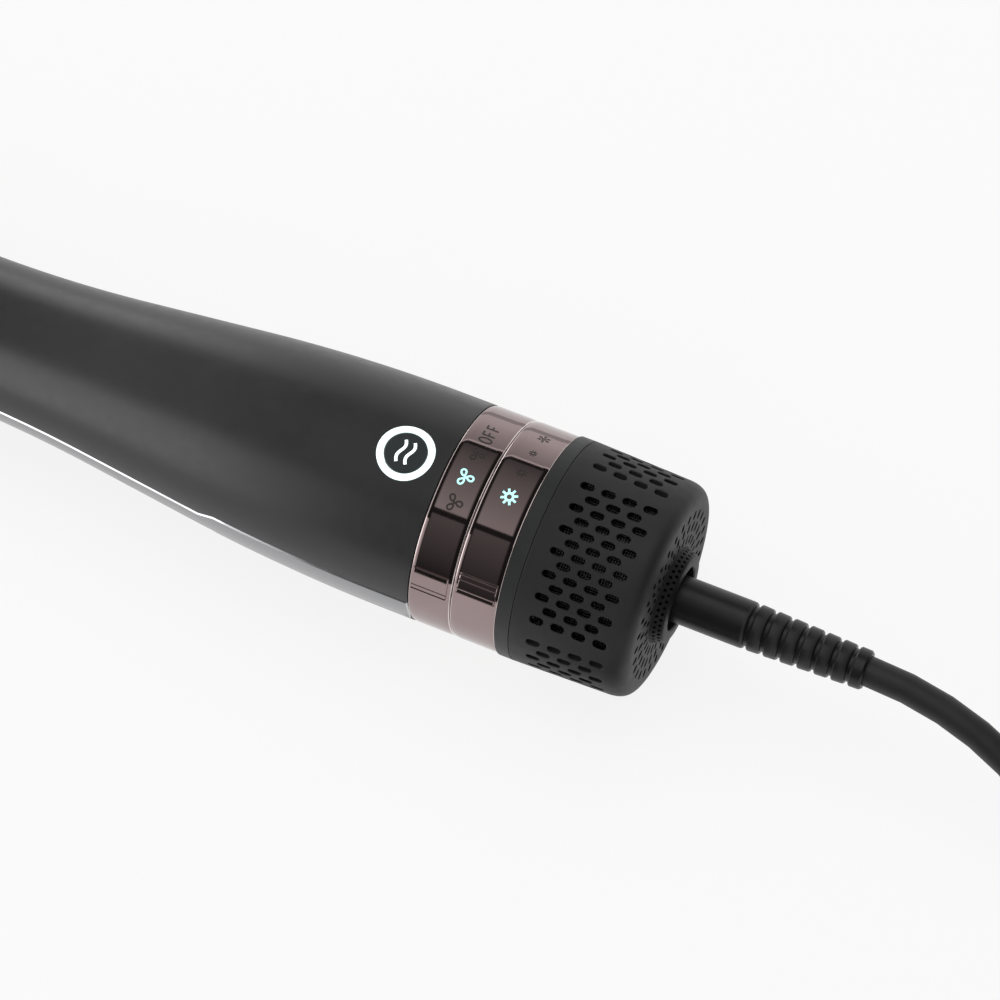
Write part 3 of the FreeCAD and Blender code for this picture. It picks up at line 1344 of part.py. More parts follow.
def build_coil():
    """The coiled length as one closed ring with its two straight ends, and the strap round it."""
    floor = "-axis_height"
    ring = document.addObject("Part::Prism", "coil_outside")
    hole = document.addObject("Part::Prism", "coil_inside")
    for item, text in ((ring, "coil_turn_radius + coil_half_width"),
                       (hole, "coil_turn_radius - coil_half_width")):
        item.Polygon = LARGE_SIDES
        item.setExpression("Circumradius", named(text))
        item.setExpression("Height", named("coil_height"))
        place(item, "coil_x", "coil_y", floor)
    route_end = CORD_ROUTE[-1][0]
    first_stub = rod("first_stub", "cord_radius", f"sleeve_end + {route_end}", "coil_x", CORD_SIDES,
                     y="-lead_aside", z="cord_radius - axis_height")
    last_stub = rod("last_stub", "cord_radius", "coil_x - tail_stub", "coil_x", CORD_SIDES,
                    y="plug_y", z="plug_axis_height - axis_height")
    ring_solid = cut("coil_ring", ring, hole)
    coil = fuse("coil_solid", [ring_solid, first_stub, last_stub])
    finish(cut("coil_piece", coil, strap("tie_space")), "cord_coil")
    finish(strap("tie"), "coil_tie")


def strap(name):
    """The strap: a flat loop round the coil's section, on the side away from the brush."""
    wide = "2 * coil_half_width + 2 * tie_thickness"
    x = "coil_x + coil_turn_radius - coil_half_width - tie_thickness"
    outside = box(f"{name}_outside", wide, "tie_width", "coil_height + tie_thickness", x,
                  "coil_y", "-axis_height")
    inside = box(f"{name}_inside", "2 * coil_half_width", "tie_width + 2",
                 "coil_height - tie_thickness", f"{x} + tie_thickness", "coil_y",
                 "tie_thickness - axis_height")
    return cut(f"{name}_loop", outside, inside)


def build_plug():
    """A two-pin plug that lies beside the coil."""
    y, z = "plug_y", "plug_axis_height - axis_height"
    steps = [("plug_body_start", "cord_radius + 2.4"), ("plug_start", "cord_radius + 0.6")]
    relief = place(lofted("plug_relief", steps, MID_SIDES), "0", y, z)
    block = body("plug_block")
    side = sketch_on(block, "XY_Plane", "plug_side")
    half = "plug_half_width"
    outline(
        side,
        [
            ("plug_body_end", f"-{half}"),
            ("plug_body_start - 2 * plug_corner", f"-{half}"),
            ("plug_body_start", f"-{half} + plug_corner"),
            ("plug_body_start", f"{half} - plug_corner"),
            ("plug_body_start - 2 * plug_corner", half),
            ("plug_body_end", half),
        ],
    )
    pad(block, side, "2 * plug_axis_height", both_ways=True)
    place(block, "0", y, z)
    finish(fuse("plug_piece", [block, relief]), "plug_body")
    pins = document.addObject("Part::Compound", "plug_pin_pair")
    pins.Links = [
        rod(f"plug_pin_{number}", "pin_radius", "plug_body_end - pin_length", "plug_body_end",
            y=f"{y} + {sign} * pin_spacing / 2", z=z)
        for number, sign in enumerate((-1, 1))
    ]
    finish(pins, "plug_pins")


# ---------------------------------------------------------------------------------------------------------
# Build, check and write
# ---------------------------------------------------------------------------------------------------------
def check_all():
    """Stops if an object failed or a piece has no sound solid."""
    for item in document.Objects:
        if "Invalid" in item.State or "Error" in item.State:
            raise RuntimeError(f"{item.Label} failed: {item.State}")
    for piece in pieces:
        shape = piece.Shape
        if shape.isNull() or not shape.isValid() or not shape.Solids:
            raise RuntimeError(f"{piece.Label} has no sound solid")


def main():
    build_handle()
    build_button()
    build_rings()
    build_rear_frame()
    build_swivel()
    build_cap()
    build_fan()
    build_motor()
    build_heater()
    build_collar()
    build_barrel()
    build_bristles()
    build_cool_tip()
    build_cord()
    build_coil()
    build_plug()
    document.recompute()
    check_all()
    os.makedirs("parts", exist_ok=True)
    for piece in pieces:
        piece.Shape.exportStep(f"parts/{piece.Label}.step")
    print(f"{len(pieces)} pieces written")


main()
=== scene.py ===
"""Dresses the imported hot-air styling brush: handle, dials, filter cap, head and lead, each with its finish.

Shapes are written in the brush's own millimetres: x runs along the axis from the seam between the handle
and the speed ring towards the lead, z points up out of the button, and turns are measured from z towards
the side at -y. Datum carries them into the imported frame.
"""

import logging
import math
from dataclasses import dataclass
from enum import Enum
from typing import Callable, Iterable, Sequence

import bmesh
import bpy
from mathutils import Matrix, Vector
from mathutils.geometry import delaunay_2d_cdt


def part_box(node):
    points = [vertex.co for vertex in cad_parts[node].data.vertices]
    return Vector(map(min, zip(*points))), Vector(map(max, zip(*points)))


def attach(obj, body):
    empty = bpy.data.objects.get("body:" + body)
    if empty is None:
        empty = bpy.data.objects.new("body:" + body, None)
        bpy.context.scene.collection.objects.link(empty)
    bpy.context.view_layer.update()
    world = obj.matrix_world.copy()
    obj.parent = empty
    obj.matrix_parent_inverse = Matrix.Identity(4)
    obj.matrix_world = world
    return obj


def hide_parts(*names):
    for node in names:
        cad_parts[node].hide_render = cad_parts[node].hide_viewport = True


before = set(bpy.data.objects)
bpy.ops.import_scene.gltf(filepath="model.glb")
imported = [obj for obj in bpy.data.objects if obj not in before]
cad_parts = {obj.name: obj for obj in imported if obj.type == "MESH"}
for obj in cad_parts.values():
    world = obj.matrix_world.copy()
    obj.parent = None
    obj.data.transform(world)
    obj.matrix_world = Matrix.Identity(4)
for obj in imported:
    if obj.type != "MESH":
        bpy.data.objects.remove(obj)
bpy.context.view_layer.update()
LOG = logging.getLogger("styling_brush")

Triple = tuple[float, float, float]
Pair = tuple[float, float]
Loop = list[Vector]
Node, Tree, Piece = bpy.types.Node, bpy.types.NodeTree, bpy.types.Object
Wrap = Callable[[float, float, float], Vector]


class Slot(Enum):
    """The record's material slots."""

    HANDLE = "handle_charcoal"
    TRIM = "trim_silver"
    LIGHT = "light_guide"
    RING = "ring_bronze"
    CAP = "cap_grey"
    CORD = "cord_rubber"
    TIE = "tie_strap"
    PIN = "pin_metal"
    BARREL = "barrel_coating"
    TIP = "tip_black"
    BRISTLE = "bristle_nylon"


class Body(Enum):
    """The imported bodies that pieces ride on."""

    HANDLE = "handle"
    SPEED = "speed_ring"
    HEAT = "heat_ring"
    BUTTON = "ion_button"
    CAP = "filter_cap"
    SWIVEL = "cord_swivel"


# Places
@dataclass(frozen=True)
class Datum:
    """Where the brush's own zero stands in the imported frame, in millimetres."""

    seam: float
    height: float

    @classmethod
    def from_frame(cls) -> "Datum":
        """Reads the zero from the handle's rear end and the cap's middle."""
        low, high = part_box("filter_cap")
        return cls(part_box("upper_handle_shell")[1].x * 1000, (low.z + high.z) * 500)

    def place(self, point: Vector) -> Vector:
        """Carries a point from the brush's millimetres into the frame's metres."""
        return Vector((point.x + self.seam, point.y, point.z + self.height)) / 1000

    def box(self, node: str) -> list[Vector]:
        """A CAD node's lowest and highest corners, in the brush's millimetres."""
        return [Vector((p.x * 1000 - self.seam, p.y * 1000, p.z * 1000 - self.height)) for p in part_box(node)]


DATUM = Datum.from_frame()


def around(x: float, radius: float, turn: float) -> Vector:
    """A point beside the axis: its place along the axis, its distance and its turn in radians."""
    return Vector((x, -radius * math.sin(turn), radius * math.cos(turn)))


def flat(u: float, v: float) -> Vector:
    """A point of a flat layout."""
    return Vector((u, v))


def spun(x: float, y: float, turn: float) -> Pair:
    """A place of a flat layout, turned round its zero."""
    return x * math.cos(turn) - y * math.sin(turn), x * math.sin(turn) + y * math.cos(turn)


def between(ends: Pair, share: float) -> float:
    """A value between two others."""
    return ends[0] + (ends[1] - ends[0]) * share


def stepped(low: float, high: float, steps: int) -> list[float]:
    """Equal steps from one value to another, both included."""
    return [low + (high - low) * step / steps for step in range(steps + 1)]


def whole_turn(steps: int) -> list[float]:
    """The angles of a whole turn in equal steps."""
    return stepped(0, math.tau, steps)[:-1]


def ease(share: float) -> float:
    """A soft step from 0 to 1."""
    share = min(max(share, 0.0), 1.0)
    return share * share * (3 - 2 * share)


def circle(u: float, v: float, radius: float, steps: int) -> Loop:
    """The corners of a circle, anticlockwise."""
    return [flat(u + radius * math.cos(angle), v + radius * math.sin(angle)) for angle in whole_turn(steps)]


def curve(pulls: Sequence[Vector], share: float) -> Vector:
    """A point of a smooth curve.

    Args:
        pulls: The curve's start, the points that pull it, and its end.
        share: How far along it the point lies, from 0 to 1.

    Returns:
        The point.
    """
    while len(pulls) > 1:
        pulls = [first.lerp(second, share) for first, second in zip(pulls, pulls[1:])]
    return pulls[0]


def shifted(loop: Loop, distance: float) -> Loop:
    """Moves an anticlockwise loop's edges outwards, or inwards where the distance is negative.

    Args:
        loop: The corners of the loop.
        distance: How far its edges move.

    Returns:
        The moved corners.
    """
    sharpest = 0.35
    moved = []
    for before, corner, after in zip(loop[-1:] + loop[:-1], loop, loop[1:] + loop[:1]):
        arriving, leaving = (corner - before).normalized(), (after - corner).normalized()
        first, second = flat(arriving.y, -arriving.x), flat(leaving.y, -leaving.x)
        middle = (first + second).normalized()
        moved.append(corner + middle * (distance / max(middle.dot(first), sharpest)))
    return moved


def slot_loop(u: float, v: float, length: float, width: float, turn: float = 0.0, steps: int = 5) -> Loop:
    """The loop of a slot with round ends.

    Args:
        u: Its middle along the layout.
        v: Its middle across the layout.
        length: Its whole length.
        width: Its width.
        turn: How far its length is turned, in radians.
        steps: Edges on each round end.

    Returns:
        The corners, anticlockwise.
    """
    reach, radius = (length - width) / 2, width / 2
    corners = []
    for side in (1, -1):
        for angle in stepped(-math.pi / 2, math.pi / 2, steps):
            x, y = spun(side * (reach + radius * math.cos(angle)), side * radius * math.sin(angle), turn)
            corners.append(flat(u + x, v + y))
    return corners


def softened(points: Sequence[Pair], radius: float, steps: int = 4) -> Loop:
    """Rounds the corners of a closed outline.

    Args:
        points: The outline's sharp corners.
        radius: The rounding, held to a third of the shorter edge beside each corner.
        steps: Edges on each rounding.

    Returns:
        The outline with its corners rounded.
    """
    made = []
    for index, point in enumerate(points):
        corner = Vector(point)
        back, ahead = Vector(points[index - 1]) - corner, Vector(points[(index + 1) % len(points)]) - corner
        reach = min(radius, back.length / 3, ahead.length / 3)
        pulls = (corner + back.normalized() * reach, corner, corner + ahead.normalized() * reach)
        made += [curve(pulls, share) for share in stepped(0, 1, steps)]
    return made


def oblong(low: Pair, high: Pair) -> list[Pair]:
    """The corners of a rectangle, anticlockwise."""
    return [low, (high[0], low[1]), high, (low[0], high[1])]


# Finishes
def linear(colour: Triple) -> tuple[float, float, float, float]:
    """Turns a colour into the renderer's own numbers.

    Args:
        colour: Red, green and blue as on a screen, 0 to 255.

    Returns:
        The same colour, 0 to 1 and opaque.
    """
    shares = [channel / 255 for channel in colour]
    made = [share / 12.92 if share <= 0.04045 else ((share + 0.055) / 1.055) ** 2.4 for share in shares]
    return (*made, 1.0)


def feed(tree: Tree, node: Node, inputs: dict) -> Node:
    """Sets or links a node's inputs.

    Args:
        tree: The node's tree.
        node: The node.
        inputs: By name or number, a value, the socket that feeds it or a node whose first output does.

    Returns:
        The same node.
    """
    for key, value in inputs.items():
        if isinstance(value, Node):
            value = value.outputs[0]
        if isinstance(value, bpy.types.NodeSocket):
            tree.links.new(value, node.inputs[key])
        else:
            node.inputs[key].default_value = value
    return node


def add(tree: Tree, kind: str, inputs: dict | None = None, operation: str = "") -> Node:
    """Adds one node.

    Args:
        tree: The tree that takes it.
        kind: The node's kind, as its type is called after "ShaderNode".
        inputs: What its inputs are fed with.
        operation: Its operation, where it has one.

    Returns:
        The new node.
    """
    node = tree.nodes.new(f"ShaderNode{kind}")
    if operation:
        node.operation = operation
    return feed(tree, node, inputs or {})


def seen(tree: Tree) -> Node:
    """Adds a node that says whether a surface is looked at or mirrored."""
    path = add(tree, "LightPath").outputs
    return add(tree, "Math", {0: path["Is Camera Ray"], 1: path["Is Glossy Ray"]}, "MAXIMUM")


class NodeBench:
    """Lays out one material's nodes."""

    def __init__(self, name: str) -> None:
        """Starts an empty material with one shader.

        Args:
            name: The material's name.
        """
        self.material = bpy.data.materials.new(name)
        self.material.use_nodes = True
        self.tree = self.material.node_tree
        self.tree.nodes.clear()
        self.shader = add(self.tree, "BsdfPrincipled")
        self.output = add(self.tree, "OutputMaterial", {"Surface": self.shader})
        self.places = add(self.tree, "TexCoord").outputs["Object"]

    def give(self, inputs: dict) -> None:
        """Sets or links inputs of the shader."""
        feed(self.tree, self.shader, inputs)

    def noise(self, size: float, detail: float = 3.0, stretch: float = 1.0) -> Node:
        """A noise whose lumps are about one size.

        Args:
            size: The lumps' size in millimetres.
            detail: How many finer layers lie on it.
            stretch: How much longer the lumps are along the brush.

        Returns:
            The node that gives the noise, from 0 to 1.
        """
        mapping = add(self.tree, "Mapping", {"Vector": self.places, "Scale": (1 / stretch, 1, 1)})
        return add(self.tree, "TexNoise", {"Vector": mapping, "Scale": 1000 / size, "Detail": detail})

    def spread(self, source: Node, low: float, high: float) -> Node:
        """Maps a noise's usual range onto another one."""
        return add(self.tree, "MapRange", {"Value": source, "From Min": 0.3, "From Max": 0.7, "To Min": low,
                                           "To Max": high})

    def tint(self, source: Node, *colours: Triple) -> None:
        """Lets the base colour wander.

        Args:
            source: The noise that it follows.
            *colours: The two colours that it wanders between.
        """
        ramp = add(self.tree, "ValToRGB", {"Fac": source})
        for stop, place, colour in zip(ramp.color_ramp.elements, (0.3, 0.7), colours):
            stop.position, stop.color = place, linear(colour)
        self.give({"Base Color": ramp})

    def relief(self, source: Node, height: float) -> None:
        """Raises the surface by a noise, up to a height in millimetres."""
        self.give({"Normal": add(self.tree, "Bump", {"Distance": height / 1000, "Height": source})})


@dataclass(frozen=True)
class Finish:
    """A finish, made once and shared by the pieces that have it.

    Sizes of clouds, patches, grain and lines are in millimetres, and colours and their contrast in the
    levels of a screen.
    """

    name: str
    colour: Triple

    def material(self) -> bpy.types.Material:
        """Makes the finish, or gives the one made before."""
        if self.name not in bpy.data.materials:
            self.lay(NodeBench(self.name))
        return bpy.data.materials[self.name]

    def lay(self, bench: NodeBench) -> None:
        """Lays the finish's nodes."""
        raise NotImplementedError(self.name)

    def shade(self, levels: float) -> Triple:
        """The colour, lighter or darker by some levels."""
        return tuple(max(channel + levels, 0) for channel in self.colour)


@dataclass(frozen=True)
class Moulded(Finish):
    """Moulded plastic or rubber: a colour that wanders a little, a fine grain and a gloss."""

    roughness: float
    grain: float = 0.35
    relief: float = 0.01
    wander: float = 5.0
    clouds: float = 9.0
    patches: float = 2.5
    uneven: float = 0.03
    specular: float = 0.5

    def lay(self, bench: NodeBench) -> None:
        """Lays the clouds of colour, the grain and the uneven gloss.

        Args:
            bench: The bench that takes them.
        """
        bench.tint(bench.noise(self.clouds), self.shade(-self.wander), self.shade(self.wander))
        bench.relief(bench.noise(self.grain, detail=2.0), self.relief)
        gloss = bench.spread(bench.noise(self.patches), self.roughness - self.uneven,
                             self.roughness + self.uneven)
        bench.give({"Roughness": gloss, "Specular IOR Level": self.specular})


@dataclass(frozen=True)
class Plated(Finish):
    """Bright plated or polished metal, with faint smears."""

    roughness: float
    smear: float = 0.03
    clouds: float = 14.0
    patches: float = 6.0
    contrast: float = 6

    def lay(self, bench: NodeBench) -> None:
        """Lays the metal and its smears.

        Args:
            bench: The bench that takes them.
        """
        bench.tint(bench.noise(self.clouds), self.colour, self.shade(self.contrast))
        gloss = bench.spread(bench.noise(self.patches), self.roughness, self.roughness + self.smear)
        bench.give({"Metallic": 1.0, "Roughness": gloss})


@dataclass(frozen=True)
class Brushed(Finish):
    """Brushed metal with fine lines along the brush."""

    roughness: float
    line: float = 0.09
    stretch: float = 120.0
    relief: float = 0.004
    contrast: float = 14
    uneven: float = 0.06

    def lay(self, bench: NodeBench) -> None:
        """Lays the lines in colour, relief and gloss.

        Args:
            bench: The bench that takes them.
        """
        lines = bench.noise(self.line, detail=4.0, stretch=self.stretch)
        bench.tint(lines, self.shade(-self.contrast), self.colour)
        bench.relief(lines, self.relief)
        gloss = bench.spread(lines, self.roughness - self.uneven, self.roughness + self.uneven)
        bench.give({"Metallic": 1.0, "Anisotropic": 0.5, "Roughness": gloss})


@dataclass(frozen=True)
class Lit(Finish):
    """A light guide or a lit sign: milky plastic that glows."""

    glow: float
    roughness: float = 0.4
    clouds: float = 1.5
    contrast: float = 4

    def lay(self, bench: NodeBench) -> None:
        """Lays the milky plastic and its glow."""
        bench.tint(bench.noise(self.clouds), self.shade(-self.contrast), self.colour)
        bench.give({"Roughness": self.roughness, "Emission Color": linear(self.colour),
                    "Emission Strength": self.glow})


@dataclass(frozen=True)
class Woven(Finish):
    """A woven wire screen rolled round the brush's axis: bright wires over a dark ground."""

    wire: Triple
    pitch: float
    radius: float = 23.4
    relief: float = 0.12
    metallic: float = 0.8
    roughness: float = 0.3

    def lay(self, bench: NodeBench) -> None:
        """Lays two sets of wires, one along the axis and one round it.

        Args:
            bench: The bench that takes them.
        """
        tree = bench.tree
        place = add(tree, "SeparateXYZ", {0: bench.places}).outputs
        lowered = add(tree, "Math", {0: place["Z"], 1: DATUM.height / 1000}, "SUBTRACT")
        turn = add(tree, "Math", {0: place["Y"], 1: lowered}, "ARCTAN2")
        waves = []
        for way, scale in ((place["X"], 1000 * math.tau / self.pitch),
                           (turn, round(math.tau * self.radius / self.pitch))):
            stretched = add(tree, "Math", {0: way, 1: scale}, "MULTIPLY")
            waves.append(add(tree, "Math", {0: stretched}, "SINE"))
        wires = add(tree, "Math", dict(enumerate(waves)), "MAXIMUM")
        bench.tint(bench.spread(wires, -0.4, 0.8), self.colour, self.wire)
        bench.relief(wires, self.relief)
        bench.give({"Metallic": self.metallic, "Roughness": self.roughness})


SATIN_CHARCOAL = Moulded("satin_charcoal", (42, 42, 43), 0.35, grain=0.22, relief=0.006, wander=2.0,
                         clouds=16.0)
BUTTON_CHARCOAL = Moulded("button_charcoal", (40, 46, 48), 0.36, grain=0.2, relief=0.004, wander=2.0)
CAP_GREY = Moulded("cap_matte_grey", (28, 28, 28), 0.58, grain=0.3, relief=0.012, wander=2.0)
# Painted shade: the boss and its recess take a darker copy of the cap's grey, standing in for the shade they
# sit in.
BOSS_SHADE = Moulded("cap_boss_painted_shade", (14, 14, 14), 0.5, grain=0.3, relief=0.008, wander=2.0, specular=0.25)
# Painted shade: the cap's inner side and the walls of its slots and holes are near black, standing in for the
# shade inside them.
CAP_INSIDE_SHADE = Moulded("cap_inside_painted_shade", (11, 11, 11), 0.7, grain=0.3, relief=0.014, wander=2.0, specular=0.2)
FRAME_BLACK = Moulded("frame_satin_black", (34, 35, 35), 0.5, grain=0.3, relief=0.008, wander=3.0)
DARK_BRONZE = Plated("dark_bronze_mirror", (148, 131, 130), 0.05)
SIGN_GREY = Moulded("sign_print_grey", (48, 42, 42), 0.5, wander=2.0)
SIGN_FAINT = Moulded("sign_print_faint", (44, 37, 37), 0.5, wander=2.0)
# Painted highlight: the dial rings' bevels take a lighter copy of their bronze, standing in for the bright
# lines along the edges; the bevels' own reflections are real.
RING_EDGE_HIGHLIGHT = Plated("ring_edge_painted_highlight", (212, 200, 198), 0.08)
TRIM_METAL = Brushed("trim_brushed_silver", (158, 158, 160), 0.3)
# Painted highlight: the trims' outline bevel is real geometry, but its lighter metal stands in for the light
# line along their edges.
TRIM_EDGE_HIGHLIGHT = Plated("trim_edge_painted_highlight", (190, 190, 192), 0.14)
WHITE_GLOW = Lit("white_glow", (240, 255, 255), 0.96)
TEAL_GLOW = Lit("teal_glow", (172, 236, 232), 0.9)
CORD_BLACK = Moulded("cord_black_rubber", (24, 24, 25), 0.5, grain=0.5, relief=0.02, wander=3.0)
SLEEVE_BLACK = Moulded("sleeve_black_rubber", (18, 18, 19), 0.36, grain=0.6, relief=0.006, wander=3.0,
                       specular=0.4)
PIN_NICKEL = Plated("pin_nickel", (206, 200, 186), 0.16)
TIE_BLACK = Moulded("tie_woven_black", (34, 34, 36), 0.8, grain=0.7, relief=0.06)
BARREL_COAT = Moulded("barrel_warm_coating", (104, 84, 80), 0.34, grain=0.25, relief=0.006, wander=2.0)
TIP_BLACK = Moulded("tip_satin_black", (36, 36, 37), 0.42, grain=0.25, relief=0.006, wander=3.0)
COLLAR_BLACK = Moulded("collar_satin_black", (38, 38, 39), 0.4, grain=0.25, relief=0.006, wander=2.0)
RAIL_BLACK = Moulded("rail_nylon_black", (30, 30, 31), 0.5, grain=0.3, wander=3.0)
PIN_NYLON = Moulded("bristle_nylon_black", (27, 27, 28), 0.32, grain=0.5, relief=0.004, wander=3.0)
SCREEN_STEEL = Woven("screen_woven_steel", (22, 22, 23), (120, 120, 122), 0.62)
BOARD_GREEN = Moulded("board_green", (26, 82, 52), 0.42, grain=1.2, relief=0.03, wander=8.0)
BARE_STEEL = Plated("bare_steel", (176, 176, 178), 0.28)
CONTACT_BRASS = Plated("contact_brass", (206, 172, 104), 0.24)
LINER_TIN = Plated("liner_tinplate", (186, 184, 178), 0.3, smear=0.1)
MICA = Moulded("mica_sheet", (196, 176, 132), 0.32, grain=2.0, relief=0.03, wander=18.0)
BUSH_WHITE = Moulded("bush_white_acetal", (214, 213, 208), 0.44, wander=4.0)


# Making meshes
class Form:
    """The corners and faces of one piece, before it becomes an object."""

    def __init__(self) -> None:
        """Starts with nothing."""
        self.corners: Loop = []
        self.faces: list[tuple[int, ...]] = []
        self.finish_of: list[int] = []
        self.leaning: dict[int, dict[int, Vector]] = {}

    def ring(self, points: Iterable[Vector]) -> list[int]:
        """Adds corners.

        Args:
            points: The corners.

        Returns:
            Their numbers.
        """
        first = len(self.corners)
        self.corners.extend(points)
        return list(range(first, len(self.corners)))

    def face(self, corners: Iterable[int], finish: int = 0,
             leaning: dict[int, Vector] | None = None) -> None:
        """Adds one face.

        Args:
            corners: The numbers of its corners.
            finish: Which of the piece's finishes it has.
            leaning: The normals at its corners, where they are known.
        """
        if leaning is not None:
            self.leaning[len(self.faces)] = leaning
        self.faces.append(tuple(corners))
        self.finish_of.append(finish)

    def bridge(self, first: Sequence[int], second: Sequence[int], finish: int = 0) -> None:
        """Joins two rings of equal length with a band of faces.

        Args:
            first: The corners' numbers of one ring.
            second: The corners' numbers of the other ring.
            finish: The band's finish.
        """
        for index, corner in enumerate(first):
            following = (index + 1) % len(first)
            self.face((corner, first[following], second[following], second[index]), finish)

    def tube(self, rings: Iterable[Iterable[Vector]], finish: int = 0, finishes: Sequence[int] = ()) -> None:
        """Joins a row of rings, and the last one to the first.

        Args:
            rings: The rings.
            finish: The finish where no other is given.
            finishes: The finishes of the first strips, one by one.
        """
        made = [self.ring(points) for points in rings]
        for number, (first, second) in enumerate(zip(made, made[1:] + made[:1])):
            self.bridge(first, second, finishes[number] if number < len(finishes) else finish)

    def loft(self, rings: Iterable[Iterable[Vector]], finish: int = 0) -> None:
        """Joins a row of rings, and closes the first and the last one.

        Args:
            rings: The rings.
            finish: The finish of it all.
        """
        made = [self.ring(points) for points in rings]
        for first, second in zip(made, made[1:]):
            self.bridge(first, second, finish)
        self.face(made[0], finish)
        self.face(made[-1], finish)

    def lathe(self, profile: Sequence[Pair], steps: int, finish: int = 0,
              finishes: Sequence[int] = ()) -> None:
        """Turns a closed outline round the axis.

        Args:
            profile: The outline's places along the axis and radii.
            steps: How many steps one turn has.
            finish: The finish where no other is given.
            finishes: The finishes of the outline's first strips, one by one.
        """
        self.tube([[around(x, radius, turn) for turn in whole_turn(steps)] for x, radius in profile], finish,
                  finishes)

    def make(self, name: str, *finishes: Finish, sharp: float = 32.0) -> Piece:
        """Makes the object.

        Args:
            name: The piece's name.
            *finishes: Its finishes, in the order of their numbers.
            sharp: Edges that turn by more degrees than this stay crisp.

        Returns:
            The new object, in the frame's metres.
        """
        mesh = bpy.data.meshes.new(name)
        mesh.from_pydata([DATUM.place(corner) for corner in self.corners], [], self.faces)
        for finish in finishes:
            mesh.materials.append(finish.material())
        mesh.polygons.foreach_set("material_index", self.finish_of)
        worked = bmesh.new()
        worked.from_mesh(mesh)
        bmesh.ops.recalc_face_normals(worked, faces=worked.faces)
        worked.to_mesh(mesh)
        worked.free()
        mesh.shade_smooth()
        mesh.set_sharp_from_angle(angle=math.radians(sharp))
        if self.leaning:
            unset = Vector((0, 0, 0))
            normals = [unset] * len(mesh.loops)
            for face, given in self.leaning.items():
                for corner in mesh.polygons[face].loop_indices:
                    normals[corner] = given.get(mesh.loops[corner].vertex_index, unset)
            mesh.normals_split_custom_set(normals)
        return linked(name, mesh)


def linked(name: str, data: bpy.types.ID) -> Piece:
    """Makes an object and puts it into the scene.

    Args:
        name: Its name.
        data: Its mesh, curve, lamp or camera.

    Returns:
        The object.
    """
    made = bpy.data.objects.new(name, data)
    bpy.context.scene.collection.objects.link(made)
    return made


@dataclass(frozen=True)
class Span:
    """The upright rectangle round a loop."""

    left: float
    right: float
    bottom: float
    top: float

    @classmethod
    def of(cls, loop: Loop, margin: float = 0.0) -> "Span":
        """The rectangle that holds a loop, with a margin on every side."""
        across, up = [point.x for point in loop], [point.y for point in loop]
        return cls(min(across) - margin, max(across) + margin, min(up) - margin, max(up) + margin)

    def holds(self, point: Vector) -> bool:
        """Whether a point lies in it."""
        return self.left <= point.x <= self.right and self.bottom <= point.y <= self.top


def encloses(loop: Loop, point: Vector) -> bool:
    """Whether a point lies inside a loop.

    Args:
        loop: The loop's corners.
        point: The point of the same layout.

    Returns:
        True where it lies inside.
    """
    inside = False
    for before, corner in zip(loop[-1:] + loop[:-1], loop):
        if (corner.y > point.y) != (before.y > point.y):
            crossing = corner.x + (point.y - corner.y) * (before.x - corner.x) / (before.y - corner.y)
            inside ^= point.x < crossing
    return inside


